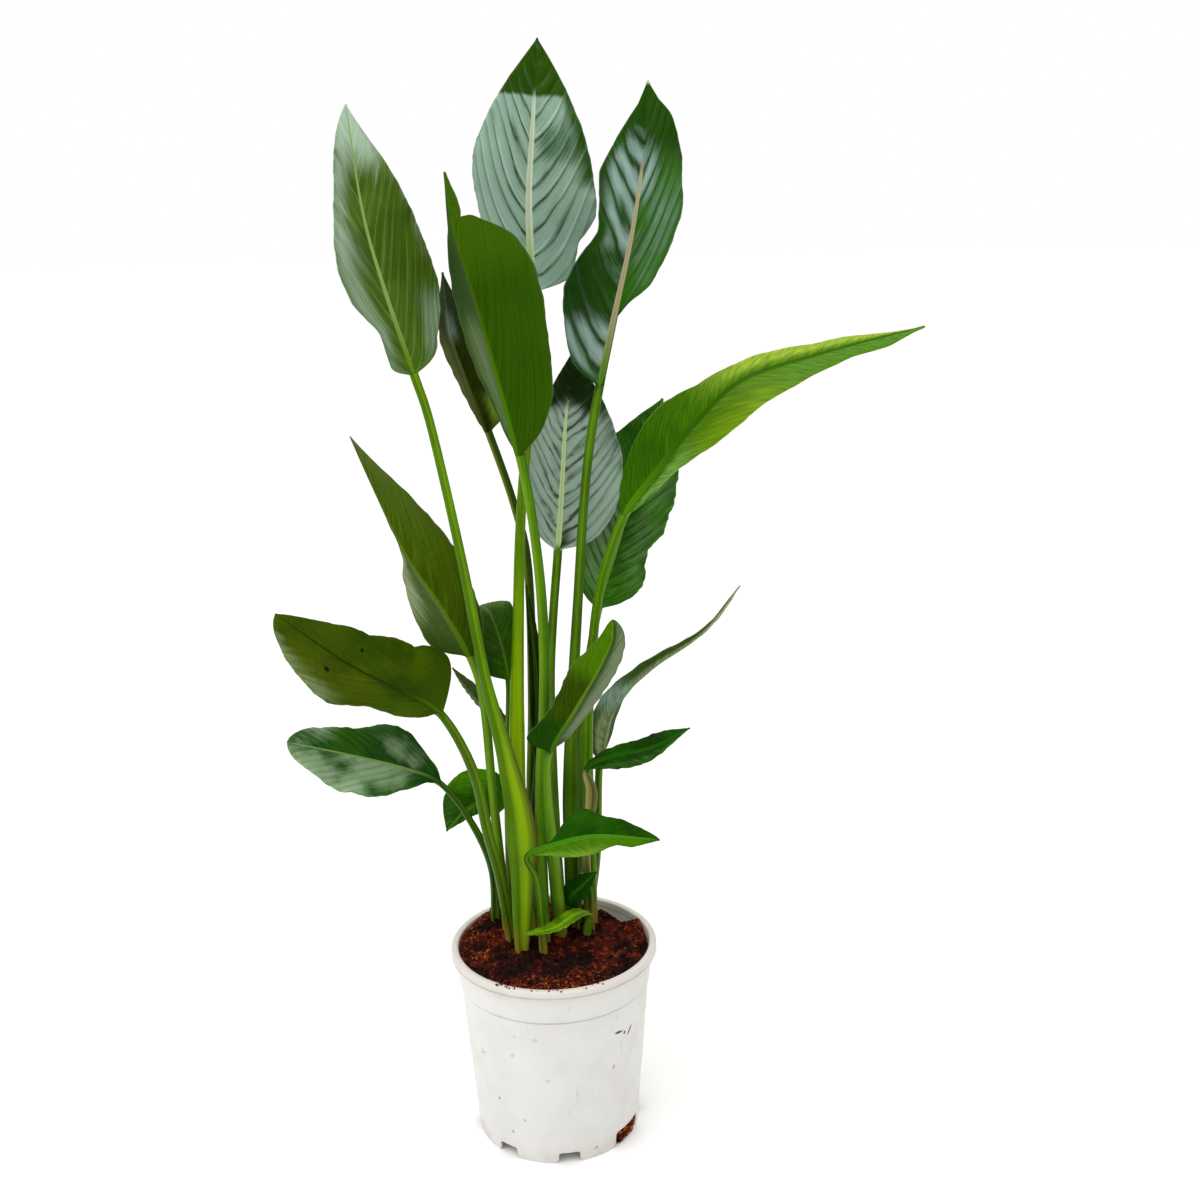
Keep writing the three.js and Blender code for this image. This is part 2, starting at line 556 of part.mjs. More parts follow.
// How far the margin is pushed out, in mm: straight between the marks, with soft corners.
function pushed(t, marks) {
  const between = (place) => {
    const after = marks.findIndex(([at]) => at > place);
    if (after <= 0) return after === 0 ? marks[0][1] : marks.at(-1)[1];
    const [[from, low], [to, high]] = [marks[after - 1], marks[after]];
    return low + (high - low) * (place - from) / (to - from);
  };
  const weights = [1, 3, 5, 6, 5, 3, 1];
  return weights.reduce((sum, weight, i) => sum + weight * between(t + 0.0075 * (i - 3)), 0) / 24;
}

// One corner of a blade section: across (towards the leaf's right) and up (off its upper face).
function bladeCorner(leaf, corner, t, ribWidth, neckWidth) {
  const column = BLADE_COLUMNS[corner];
  const share = Math.abs(column);
  const upper = corner < UPPER_CORNERS;
  const sign = Math.sign(column);
  const ribEdge = 0.8 * ribWidth;
  if (share < 0.2) {
    const across = sign * ribEdge;
    if (upper) return [across, share > 0 ? 0 : -0.18 * ribWidth];
    const deep = share > 0 ? -0.75 * ribWidth - 0.4 : -1.1 * ribWidth - 0.6;
    return [across, Math.min(deep, -BLADE_THICKNESS)];
  }
  const side = sign < 0 ? 0 : 1;
  const tail = leaf.tail ?? 0;
  const shape = outline(t, leaf.widest[side], (leaf.base ?? [0.8, 0.8])[side],
    (leaf.tip ?? [1, 1])[side], tail);
  let least = t < 0.5 ? 0.7 * neckWidth : 1.2;
  if (tail > 0 && t > 0.95 - tail) least = Math.max(least, 4 * (1 - (t - 1 + tail) / tail));
  if (t === 1) least = 0.8;
  const plain = Math.max(leaf.half[side] * shape, least, ribEdge + 0.4) - ribEdge;
  const reach = Math.max(plain + pushed(t, leaf.edge?.[side] ?? FLAT), 0.4);
  const beyond = reach * (share < 1 ? 0.46 : 1);
  const flatTip = t < 1 ? 1 : 0;
  const fold = flatTip
    * (THREE.MathUtils.lerp(leaf.fold[0], leaf.fold[1], t) + leaf.curl * share / 2);
  const [height, number, shift] = leaf.wave ?? [0, 1, 0];
  const wave = height * Math.sin(2 * Math.PI * (number * t + shift * sign))
    * share ** 2 * Math.min(1, shape);
  const across = sign * (ribEdge + beyond * Math.cos(radians(fold)));
  const up = beyond * Math.sin(radians(fold)) + wave;
  return [across, upper ? up : up - BLADE_THICKNESS];
}

function stalkCorner(corner, halfWidth) {
  const [across, up] = STALK_SECTION[corner];
  const depth = halfWidth < 6 ? halfWidth : 6 + (halfWidth - 6) * 0.25;
  return [across * halfWidth, up * depth];
}

function leafSections(leaf) {
  const line = middleLine(leaf);
  const shares = bladeShares(leaf.size.blade);
  const along = bladeStations(line, shares);
  const sections = [];
  const stalkStations = Array.from({ length: leaf.size.stalk },
    (_, i) => line.neck * i / leaf.size.stalk);
  const face = new THREE.Vector3(...leaf.face);
  const faceTip = new THREE.Vector3(...(leaf.faceTip ?? leaf.face));
  const neckWidth = line.halfWidths[line.neck];

  const addSection = (station, t, onBlade) => {
    const middle = line.curve.getPoint(station / line.spans);
    const forward = line.curve.getTangent(station / line.spans);
    const normal = face.clone().lerp(faceTip, t);
    normal.addScaledVector(forward, -normal.dot(forward)).normalize();
    const right = new THREE.Vector3().crossVectors(forward, normal);
    const stalkWidth = onBlade ? neckWidth : widthAlongStalk(line, station);
    const ribWidth = 0.9 * neckWidth * (1 - t) ** 0.8 + 0.45;
    const spread = onBlade ? 1 - Math.exp(-t / NECK_SPREAD) : 0;
    const corners = [];
    for (let corner = 0; corner < CORNERS; corner += 1) {
      const [sx, sy] = stalkCorner(corner, stalkWidth);
      const [bx, by] = onBlade ? bladeCorner(leaf, corner, t, ribWidth, neckWidth) : [sx, sy];
      corners.push(middle.clone()
        .addScaledVector(right, THREE.MathUtils.lerp(sx, bx, spread))
        .addScaledVector(normal, THREE.MathUtils.lerp(sy, by, spread)));
    }
    sections.push(corners);
  };

  for (const station of stalkStations) addSection(station, 0, false);
  shares.forEach((t, i) => addSection(along[i], t, true));
  return sections;
}

// Joins the sections into one closed skin. The two faces of the blade are split into triangles
// along the same diagonals, so that a waved blade keeps its thickness everywhere.
function skin(sections) {
  const positions = [];
  const triangles = [];
  for (const corners of sections) for (const p of corners) positions.push(p.x, p.y, p.z);
  const at = (section, corner) => section * CORNERS + (corner % CORNERS);
  for (let s = 0; s < sections.length - 1; s += 1) {
    for (let c = 0; c < CORNERS; c += 1) {
      const [a, b] = [at(s, c), at(s, c + 1)];
      const [d, e] = [at(s + 1, c), at(s + 1, c + 1)];
      if (c < UPPER_CORNERS) triangles.push(a, b, e, a, e, d);
      else triangles.push(a, b, d, b, e, d);
    }
  }
  for (const [s, turnedRound] of [[0, false], [sections.length - 1, true]]) {
    const middle = new THREE.Vector3();
    for (const p of sections[s]) middle.addScaledVector(p, 1 / CORNERS);
    const hub = positions.length / 3;
    positions.push(middle.x, middle.y, middle.z);
    for (let c = 0; c < CORNERS; c += 1) {
      if (turnedRound) triangles.push(hub, at(s, c), at(s, c + 1));
      else triangles.push(hub, at(s, c + 1), at(s, c));
    }
  }
  return closedGeometry(positions, triangles);
}

function makeLeaf(leaf) {
  return named(leaf.name, skin(leafSections(leaf)), leaf.colour, 0.45);
}

// ---------------------------------------------------------------- the plant

const plant = new THREE.Group();
plant.add(makePot(), makeSoil(), ...LEAVES.map(makeLeaf));

export default plant;
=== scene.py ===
"""A potted bird of paradise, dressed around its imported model.

Paddle leaves on long channelled stalks stand in red-brown coir, in a round white nursery pot.
Metres, +Z up. The origin is the centre of the pot's underside, and -Y is the front.
"""

import math
import random
from functools import partial

import bpy
import numpy as np
from mathutils import Euler, Matrix, Vector, noise


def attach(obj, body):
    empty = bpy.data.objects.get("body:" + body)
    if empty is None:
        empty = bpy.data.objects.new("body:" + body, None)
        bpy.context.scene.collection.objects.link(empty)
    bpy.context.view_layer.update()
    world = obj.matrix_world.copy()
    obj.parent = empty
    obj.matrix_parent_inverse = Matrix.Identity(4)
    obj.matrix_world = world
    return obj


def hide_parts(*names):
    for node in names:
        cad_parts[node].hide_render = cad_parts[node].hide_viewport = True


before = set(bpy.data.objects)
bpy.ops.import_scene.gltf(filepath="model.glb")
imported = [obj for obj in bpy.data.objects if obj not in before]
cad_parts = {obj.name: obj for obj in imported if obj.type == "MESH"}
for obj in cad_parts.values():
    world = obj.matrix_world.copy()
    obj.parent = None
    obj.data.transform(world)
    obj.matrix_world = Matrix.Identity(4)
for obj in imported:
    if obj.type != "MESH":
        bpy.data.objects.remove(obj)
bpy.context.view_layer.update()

MM = 0.001
FULL_TURN = 2 * math.pi

# ------------------------------------------------------------------ camera, floor and light

IMAGE_SIDE = 1200.0  # pixels
FOCAL_PIXELS = 1400.0
SENSOR = 36.0  # mm
CAMERA_PLACE = (0.0548, -1.2997, 0.9039)
CAMERA_DOWN = 0.257  # radians below level
CAMERA_ROLL = -0.0218


def place_camera():
    forward = Vector((0, math.cos(CAMERA_DOWN), -math.sin(CAMERA_DOWN)))
    level = Vector((1, 0, 0))
    upright = level.cross(forward)
    right = math.cos(CAMERA_ROLL) * level + math.sin(CAMERA_ROLL) * upright
    up = -math.sin(CAMERA_ROLL) * level + math.cos(CAMERA_ROLL) * upright
    turn = Matrix((right, up, -forward)).transposed()
    bpy.ops.object.camera_add(location=CAMERA_PLACE, rotation=turn.to_euler())
    camera = bpy.context.object
    camera.name = "camera"
    camera.data.sensor_width = SENSOR
    camera.data.lens = SENSOR * FOCAL_PIXELS / IMAGE_SIDE
    camera.data.clip_start = 0.05
    camera.data.clip_end = 200
    bpy.context.scene.camera = camera


def linear(text):
    """An sRGB hex colour as linear RGBA."""
    values = [int(text[i : i + 2], 16) / 255 for i in (1, 3, 5)]
    return tuple(v / 12.92 if v <= 0.04045 else ((v + 0.055) / 1.055) ** 2.4 for v in values) + (1,)


# The nodes in use: their type, the inputs that are given in order, the output that is read, and
# the settings that they always have.
NODES = {
    "coordinates": ("TexCoord", (), "Object", {}),
    "attribute": ("Attribute", (), "Fac", {}),
    "split": ("SeparateXYZ", (0,), 0, {}),
    "joined": ("CombineXYZ", (0, 1), 0, {}),
    "drawn out": ("Mapping", ("Vector", "Scale"), 0, {}),
    "centred": ("Mapping", ("Vector", "Location", "Scale", "Rotation"), 0, {"vector_type": "TEXTURE"}),
    "noise": ("TexNoise", ("Vector", "Scale", "Detail", "Roughness"), 0, {}),
    "cells": ("TexVoronoi", ("Vector", "Scale"), 1, {}),
    "length": ("VectorMath", (0,), 1, {"operation": "LENGTH"}),
    "absolute": ("Math", (0,), 0, {"operation": "ABSOLUTE"}),
    "sum": ("Math", (0, 1), 0, {"operation": "ADD"}),
    "difference": ("Math", (0, 1), 0, {"operation": "SUBTRACT"}),
    "product": ("Math", (0, 1), 0, {"operation": "MULTIPLY"}),
    "product and sum": ("Math", (0, 1, 2), 0, {"operation": "MULTIPLY_ADD"}),
    "greater": ("Math", (0, 1), 0, {"operation": "MAXIMUM"}),
    "to and fro": ("Math", (0, 1), 0, {"operation": "PINGPONG"}),
    # from the first pair of numbers to the second, smoothly; 0 to 1 where the second isn't given
    "ramp": ("MapRange", (0, 1, 2, 3, 4), 0, {"interpolation_type": "SMOOTHSTEP"}),
    "mix": ("Mix", (0, 6, 7), 2, {"data_type": "RGBA"}),
    "lighter": ("HueSaturation", ("Color", "Value"), 0, {}),
    "bump": ("Bump", ("Strength", "Distance", "Height"), 0, {}),
    "skin": ("BsdfPrincipled", ("Base Color", "Roughness", "Specular IOR Level", "Specular Tint",
                                "Normal"), 0, {}),
    "finish": ("OutputMaterial", ("Surface",), None, {}),
    "glow": ("Background", ("Color", "Strength"), 0, {}),
    "ray": ("LightPath", (), "Is Camera Ray", {}),
    "either": ("MixShader", (0, 1, 2), 0, {}),
    "sky": ("OutputWorld", ("Surface",), None, {}),
}


def add(tree, kind, *values, out=None, **settings):
    """Adds a node with its settings, sets or links its inputs, and gives the output to read."""
    title, inputs, output, always = NODES[kind]
    node = tree.nodes.new("ShaderNode" + title)
    for key, value in (always | settings).items():
        setattr(node, key, value)
    for key, value in zip(inputs, values):
        if isinstance(value, bpy.types.NodeSocket):
            tree.links.new(value, node.inputs[key])
        else:
            node.inputs[key].default_value = value
    return node.outputs[output if out is None else out] if node.outputs else None


def coated(tree, ground, *coats):
    """Lays coats of colour over the ground: for each its strength, and its hex value or output."""
    for strength, colour in coats:
        colour = linear(colour) if isinstance(colour, str) else colour
        ground = add(tree, "mix", strength, ground, colour)
    return ground


def surface(tree, colour, roughness, gloss, tint=(1, 1, 1, 1), relief=None, strength=0.3, depth=0.001):
    """Ends a material, with its relief as a bump of that depth in metres."""
    values = [colour, roughness, gloss, tint]
    if relief is not None:
        values.append(add(tree, "bump", strength, depth, relief))
    add(tree, "finish", add(tree, "skin", *values))


def light_area(name, place, aim, size, power, colour):
    bpy.ops.object.light_add(type="AREA", location=place)
    lamp = bpy.context.object
    lamp.name = name
    lamp.data.shape = "RECTANGLE"
    lamp.data.size, lamp.data.size_y = size
    lamp.data.energy = power
    lamp.data.color = linear(colour)[:3]
    lamp.rotation_euler = (Vector(aim) - Vector(place)).to_track_quat("-Z", "Y").to_euler()


def set_light():
    """A white studio under a wide soft ceiling of light. The world is white to the camera, and
    lights the plant as such a ceiling does: bright overhead, dim around the horizon."""
    world = bpy.data.worlds.new("soft white studio")
    bpy.context.scene.world = world
    world.use_nodes = True
    world.node_tree.nodes.clear()
    put = partial(add, world.node_tree)
    aim = put("split", put("coordinates", out="Generated"))
    brightness = put("ramp", aim.node.outputs["Z"], 0.3, 0.75, 0.3, 1.45)
    ceiling = put("glow", linear("#fffefb"), brightness)
    seen = put("glow", (1, 1, 1, 1), 1.0)
    put("sky", put("either", put("ray"), ceiling, seen))

    light_area("sky panel", (-0.5, -1.6, 2.9), (0, 0, 0.6), (2.2, 1.2), 20, "#eef5ff")
    light_area("window panel", (-2.4, -0.9, 1.5), (0, 0, 0.55), (1.6, 1.8), 14, "#fbfdff")

    bpy.context.scene.view_settings.view_transform = "Standard"
    bpy.context.scene.view_settings.look = "None"


def new_material(name):
    material = bpy.data.materials.new(name)
    material.use_nodes = True
    material.node_tree.nodes.clear()
    return material, material.node_tree


def make_floor():
    bpy.ops.mesh.primitive_circle_add(vertices=96, radius=60, fill_type="NGON", location=(0, 0, 0))
    floor = bpy.context.object
    floor.name = "floor"
    material, tree = new_material("matt white studio floor")
    surface(tree, linear("#fbfbfb"), 0.9, 0.1)
    floor.data.materials.append(material)


# ------------------------------------------------------------------ leaf finishes

# Each leaf's colours as the eye sees them in soft light: green, the upper face, deep, its darker
# patches, line, the furrow lines, which where dark are painted shade in the furrows, light, a
# painted highlight beside a furrow, sheen_and_bloom, a pale colour that paints the sky's sheen on
# the cuticle and also serves the underside's glaucous patches and the margin, rib, the midrib,
# under, the underside, keel, the rib's raised back, paler with a painted highlight, and stalk. The
# rest are numbers:
# depth      how strongly the furrows show, and broken how far they break up
# wide       a furrow's width as a share of the distance to the next
# fade       what is left of the furrows at the margin
# wander     how far the furrows stray from even distances
# fine       how strongly the thin veins show
# furrow_highlight  how strongly the painted highlight beside a furrow shows
# cloud      how blotchy the painted sheen is, and striped how far it keeps to the ridges
# rib_wide   the pale rib's width as a share of the rib; it runs from rib_start to rib_end
# gloss      specular level of the cuticle
USUAL_LOOK = dict(depth=0.3, broken=0.2, wide=0.4, fade=0.5, wander=0.9, fine=0.2, furrow_highlight=0.1,
                  cloud=0.4, striped=0.0, rib_wide=1.0, rib_start=0.3, rib_end=0.97, gloss=0.25)
LOOKS = {
    "tall_left": dict(green="#3e5a16", deep="#2d4808", line="#6f8f50", light="#86a45c",
                      sheen_and_bloom="#a3b9a5", rib="#8aa85c", under="#3b5515", stalk="#5f8c08", depth=0.35,
                      wide=0.45, fade=0.9, fine=0.25, cloud=0.3, rib_wide=0.6),
    "top_centre": dict(green="#1a3c02", deep="#123203", line="#10301c", light="#b9cbbf",
                       sheen_and_bloom="#8ba796", rib="#c6d0b4", under="#2c4f08", stalk="#86b806", depth=1.0,
                       wide=0.36, fade=0.2, cloud=0.6, striped=0.3, furrow_highlight=0.5, rib_end=0.77,
                       rib_wide=0.9, fine=0.12, broken=0.35, keel="#8fae4c"),
    "top_right": dict(green="#1a4a0a", deep="#06280a", line="#04200a", light="#a9bdb8",
                      sheen_and_bloom="#8ca59f", rib="#b3a684", under="#325508", stalk="#55860c", depth=0.9,
                      wide=0.45, fade=0.55, striped=0.9, cloud=0.8, furrow_highlight=0.2, rib_end=0.72,
                      rib_wide=0.8, fine=0.2, broken=0.3, keel="#6f9430"),
    "front_centre": dict(green="#284c04", deep="#1d3f03", line="#1d3f03", light="#4a6c0c",
                         sheen_and_bloom="#7c8c6a", rib="#5c8a1c", under="#2c4c02", stalk="#50820a"),
    "behind_left": dict(green="#34502f", deep="#161f04", line="#161f04", light="#5c6a2c",
                        sheen_and_bloom="#76888c", rib="#5a7434", under="#1c2503", stalk="#364f14"),
    "middle_back": dict(green="#04200a", deep="#020f06", line="#020f06", light="#c0cecb",
                        sheen_and_bloom="#9ab1a2", rib="#cce0a0", under="#243f08", stalk="#5a8c12",
                        depth=0.95, wide=0.65, fade=0.05, striped=0.35, cloud=1.3, furrow_highlight=0.25,
                        rib_end=0.72, rib_wide=0.75, fine=0.12, broken=0.8, rib_start=0.04,
                        keel="#7f9f48", wander=1.7),
    # its rib colour is dark: painted shade in the midrib's groove
    "arching_right": dict(green="#306602", deep="#2a5602", line="#224c01", light="#7cac22",
                          sheen_and_bloom="#c4d860", rib="#2a5c02", under="#64920f", stalk="#588808",
                          depth=0.35, fine=0.25, gloss=0.2),
    "behind_right": dict(green="#376e1a", deep="#0e3a06", line="#0e3a06", light="#6f9a50",
                         sheen_and_bloom="#8aac7c", rib="#7fae4c", under="#243f08", stalk="#558418",
                         depth=0.85, wide=0.4, fade=0.8, rib_wide=0.7, fine=0.3, broken=0.5,
                         striped=0.5),
    "narrow_left": dict(green="#3a560a", deep="#243603", line="#243603", light="#6a8028",
                        sheen_and_bloom="#a3ae84", rib="#62822c", under="#3a4e04", stalk="#558410", fine=0.3),
    # its rib colour is dark: painted shade in the midrib's groove
    "broad_left": dict(green="#415702", deep="#2c4202", line="#182a01", light="#4a6008",
                       sheen_and_bloom="#8f9f74", rib="#182c01", under="#354803", stalk="#476e0a", depth=0.3,
                       gloss=0.15, fine=0.15, rib_wide=0.6),
    "low_left": dict(green="#1a5212", deep="#08300c", line="#08300c", light="#8aa67c",
                     sheen_and_bloom="#94b088", rib="#8fb066", under="#2c4f0a", stalk="#3a640c", depth=0.3,
                     wide=0.35, striped=0.25, cloud=2.4, rib_wide=0.7, broken=0.7),
    "small_left": dict(green="#4c8a02", deep="#164a01", line="#123f01", light="#4c7c1c",
                       sheen_and_bloom="#5c8440", rib="#4c7c1c", under="#244f06", stalk="#285206",
                       gloss=0.15),
    "folded_front": dict(green="#547602", deep="#284602", line="#284602", light="#7f9c30",
                         sheen_and_bloom="#a0ac94", rib="#44700a", under="#264301", stalk="#48760f",
                         gloss=0.15),
    "thin_right": dict(green="#3f5c1a", deep="#1f320a", line="#1f320a", light="#7f9464",
                       sheen_and_bloom="#a3b096", rib="#62803c", under="#526c38", stalk="#3f5c1a", fine=0.3),
    "small_right": dict(green="#124a02", deep="#083002", line="#083002", light="#3c7418",
                        sheen_and_bloom="#548c3a", rib="#1f5a06", under="#305f08", stalk="#245206",
                        depth=0.4, gloss=0.15, fine=0.25),
    "low_right": dict(green="#144c02", deep="#0a3802", line="#0a3802", light="#2f6c0c",
                      sheen_and_bloom="#5f9434", rib="#3f8412", under="#63ad0c", stalk="#447408", gloss=0.15),
    "lowest_front": dict(green="#74a008", deep="#285802", line="#285802", light="#7fb434",
                         sheen_and_bloom="#7fb45c", rib="#86b022", under="#738c00", stalk="#448408",
                         gloss=0.15),
    "lowest_dark": dict(green="#124202", deep="#082602", line="#082602", light="#2c6010",
                        sheen_and_bloom="#3f6c3c", rib="#2c6008", under="#103802", stalk="#1a4406",
                        gloss=0.15),
    "dark_arching": dict(green="#2c5208", deep="#12320a", line="#0c2a02", light="#4c6c30",
                         sheen_and_bloom="#5f7f54", rib="#4a6c2c", under="#244004", stalk="#527e08",
                         depth=0.4, rib_wide=0.5),
    "narrow_back": dict(green="#40602c", deep="#1c3612", line="#1c3612", light="#7a9468",
                        sheen_and_bloom="#6a7a5a", rib="#62824a", under="#3a4a18", stalk="#365614"),
    "young_rolled": dict(green="#1a3206", deep="#0c1a03", line="#0c1a03", light="#44602c",
                         sheen_and_bloom="#5f7058", rib="#345412", under="#1f3804", stalk="#284508"),
}
GREEN_GLOSS = linear("#d4ff60")  # light that passes the cuticle comes back green


def vein_grain(tree, vein, share, scale, reach, detail=2.0):
    """Noise drawn out along the side veins: fine across them, long from midrib to margin."""
    across = add(tree, "joined", add(tree, "product", vein, scale), add(tree, "product", share, reach))
    return add(tree, "noise", across, 1.0, detail)


def lay_of(tree):
    """Where a point lies on its leaf: along the side veins' order, across and along the blade."""
    vein, share, along = add(tree, "split",
                             add(tree, "attribute", out="Vector", attribute_name="lay")).node.outputs
    return vein, share, along, add(tree, "absolute", share)


def lines_at(tree, course, gap, width):
    """Lines that repeat at a distance: 1 in their middle, 0 from a share of the distance on."""
    away = add(tree, "product", add(tree, "to and fro", course, gap / 2), 2 / gap)
    return add(tree, "ramp", away, 0.0, width, 1.0, 0.0)


def streaked(tree, colour, thread, strength):
    """The thin veins: each makes the green a little lighter or darker along its way."""
    value = add(tree, "ramp", thread, 0.28, 0.72, 1 - 1.3 * strength, 1 + 1.5 * strength)
    return add(tree, "lighter", colour, value)


def swayed(tree, value, *sways):
    """A value that sways up and down with noises, each by its own amount."""
    for grain, amount in sways:
        value = add(tree, "product and sum", add(tree, "difference", grain, 0.5), amount, value)
    return value


def leaf_upper(name, look, gap, spots):
    """Upper face of a living paddle leaf: a smooth waxy cuticle over fine parallel side veins.
    The eye sees a satin green with furrow lines, dark ones painted as shade, and a pale sheen of
    the sky on the cuticle, painted into the colour."""
    material, tree = new_material("waxy leaf " + name)
    put = partial(add, tree)
    vein, share, along, size = lay_of(tree)
    sheen_and_bloom = put("attribute", attribute_name="sheen_and_bloom")
    paint = put("attribute", out="Color", attribute_name="paint")
    cover = paint.node.outputs["Alpha"]
    place = put("coordinates")
    cloud = put("noise", place, 26.0, 3.0)
    # the furrows lie 6 to 26 mm apart, with threads of 2 mm between them
    band = vein_grain(tree, vein, share, 0.8 / gap, 1.5)
    thread = vein_grain(tree, vein, share, 420.0, 2.5, 3.0)
    course = put("product and sum", band, look["wander"] * gap, vein)
    width = put("product", put("ramp", size, 0.05, 1.0, look["wide"], 0.4 * look["wide"]),
                put("ramp", band, 0.3, 0.7, 0.6, 1.5))
    # the furrow lines, laid in the line colour: where that is dark they are painted shade in the furrows;
    # the same lines make the furrows' bump
    furrow = put("product", lines_at(tree, course, gap, width),
                 put("ramp", size, 0.3, 1.0, 1.0, look["fade"]))
    furrow = put("product", furrow, put("ramp", thread, 0.25, 0.55, 0.3, 1.0))
    small = put("product", lines_at(tree, course, gap / 3, 0.6),
                put("ramp", band, 0.45, 0.65, 0.05, 0.3))
    small = put("product", small, put("ramp", size, 0.2, 0.9, 1.0, 0.3))
    furrow = put("product", put("greater", furrow, small), look["depth"])
    # they break up in places, and are weaker under painted patches
    patchy = put("noise", place, 85.0, 2.0)
    furrow = put("product", furrow, put("ramp", patchy, 0.35, 0.6, 1 - look["broken"], 1.0))
    furrow = put("product", furrow, put("ramp", cover, 0.3, 1.0, 1.0, 0.25))
    # a painted highlight on the edge beside each furrow, strongest where the sheen is painted
    furrow_highlight = lines_at(tree, put("sum", course, -0.2 * gap), gap, 0.4)
    furrow_highlight = put("product", put("product", furrow_highlight, put("ramp", band, 0.35, 0.6)), look["furrow_highlight"])
    furrow_highlight = put("product", furrow_highlight, put("ramp", sheen_and_bloom, 0.0, 0.6, 0.1, 1.0))

    ground = coated(tree, linear(look["green"]), (put("ramp", cloud, 0.35, 0.68), look["deep"]),
                    (cover, paint))
    ground = streaked(tree, ground, thread, look["fine"])
    # the painted sheen: a pale colour laid where the cuticle would mirror the bright sky, kept to the
    # ridges as far as striped says
    haze = swayed(tree, sheen_and_bloom, (band, 0.6), (thread, 0.5), (cloud, look["cloud"]))
    haze = put("product", put("ramp", haze, 0.1, 0.9), put("ramp", sheen_and_bloom, 0.0, 0.12))
    crest = put("difference", 1.0, put("product", lines_at(tree, course, gap, 0.85), look["striped"]))
    # the midrib, its middle painted darker as shade in its groove
    rib = coated(tree, linear(look["stalk"]), (put("ramp", along, 0.0, look["rib_start"]), look["rib"]),
                 (put("ramp", size, 0.0, 0.09, 0.25, 0.0), look["deep"]))
    on_rib = put("product", put("ramp", size, 0.115 * look["rib_wide"], 0.085 * look["rib_wide"]),
                 put("ramp", along, look["rib_end"] + 0.04, look["rib_end"] - 0.03))
    at_margin = put("ramp", size, 0.97, 1.0, 0.0, 0.4)
    # over the ground go the painted sheen, the furrow lines, the painted highlight, a pale margin and the
    # rib
    leaf = coated(tree, ground, (put("product", haze, crest), look["sheen_and_bloom"]), (furrow, look["line"]),
                  (furrow_highlight, look["light"]), (at_margin, look["sheen_and_bloom"]), (on_rib, rib))
    for spot_along, spot_across, long, broad in spots:
        local = put("centred", put("attribute", out="Vector", attribute_name="lay"),
                    (0, spot_across, spot_along), (100.0, broad, long))
        leaf = coated(tree, leaf, (put("ramp", put("length", local), 1.4, 0.6), "#060c01"))
    relief = put("product and sum", furrow, -0.8, put("product", thread, 0.4))
    surface(tree, leaf, 0.46, look["gloss"], GREEN_GLOSS, relief, 0.5, 0.0006)
    return material


def leaf_under(name, look, gap):
    """Underside of a living paddle leaf: matt, paler where the veins run, without the waxy cuticle.
    The eye sees a flat olive green with faint parallel streaks, pale glaucous patches with some
    painted sheen, and a raised keel painted paler, partly its own colour and partly a painted
    highlight."""
    material, tree = new_material("leaf underside " + name)
    put = partial(add, tree)
    vein, share, along, size = lay_of(tree)
    sheen_and_bloom = put("attribute", attribute_name="sheen_and_bloom")
    paint = put("attribute", out="Color", attribute_name="paint")
    broad = put("noise", put("coordinates"), 18.0, 3.0)
    band = vein_grain(tree, vein, share, 1.4 / gap, 1.0)
    thread = vein_grain(tree, vein, share, 420.0, 2.5, 3.0)
    dark = coated(tree, linear(look["under"]), (0.35, look["deep"]))
    ground = coated(tree, linear(look["under"]), (put("ramp", broad, 0.35, 0.68), dark),
                    (put("ramp", band, 0.45, 0.75, 0.0, 0.3), look["deep"]),
                    (paint.node.outputs["Alpha"], paint))
    ground = streaked(tree, ground, thread, look["fine"])
    # pale patches: the underside's glaucous coat, with some sheen painted in
    haze = swayed(tree, sheen_and_bloom, (thread, 0.7), (band, 0.5))
    haze = put("product", put("ramp", haze, 0.0, 1.0), put("ramp", sheen_and_bloom, 0.0, 0.25))
    # the keel: paler along the rib's raised back, partly its own colour and partly a painted highlight
    keel = coated(tree, linear(look["stalk"]),
                  (put("ramp", along, 0.0, 0.6), look.get("keel", look["light"])))
    on_keel = put("product", put("ramp", size, 0.11, 0.07), put("ramp", along, 0.9, 0.2, 0.2, 0.6))
    leaf = coated(tree, ground, (haze, look["sheen_and_bloom"]),
                  (put("ramp", size, 0.97, 1.0, 0.0, 0.3), look["sheen_and_bloom"]), (on_keel, keel))
    surface(tree, leaf, 0.65, 0.06, GREEN_GLOSS, put("sum", band, thread), 0.3, 0.0006)
    return material


def leaf_stalk(name, look):
    """Petiole: a smooth, firm green stem with fine lengthwise fibres under a satin skin. Old
    sheaths dry to olive and straw along their thin margins."""
    material, tree = new_material("leaf stalk " + name)
    put = partial(add, tree)
    size = lay_of(tree)[-1]
    paint = put("attribute", out="Color", attribute_name="paint")
    place = put("coordinates")
    fibre = put("noise", put("drawn out", place, (420.0, 420.0, 9.0)), 1.0, 2.0)
    cloud = put("noise", place, 22.0)
    height = put("split", place).node.outputs["Z"]
    dark = coated(tree, linear(look["stalk"]), (0.5, look["deep"]))
    near_soil = put("product", put("ramp", height, 0.240, 0.205), put("ramp", cloud, 0.25, 0.6, 0.2, 0.9))
    stained = put("product", paint.node.outputs["Alpha"], put("ramp", fibre, 0.15, 0.5, 0.6, 1.0))
    # the channel's thin lips are painted darker as shade, its middle painted lighter as a highlight, and
    # the foot is yellowed
    skin = coated(tree, linear(look["stalk"]), (put("ramp", cloud, 0.35, 0.7, 0.0, 0.7), dark),
                  (put("ramp", fibre, 0.4, 0.7, 0.0, 0.45), dark),
                  (put("ramp", size, 0.6, 0.95, 0.0, 0.4), look["deep"]),
                  (put("ramp", size, 0.4, 0.05, 0.0, 0.3), "#93b02c"),
                  (near_soil, "#8f8430"), (stained, paint))
    surface(tree, skin, 0.42, 0.2, GREEN_GLOSS, fibre, 0.2, 0.0005)
    return material
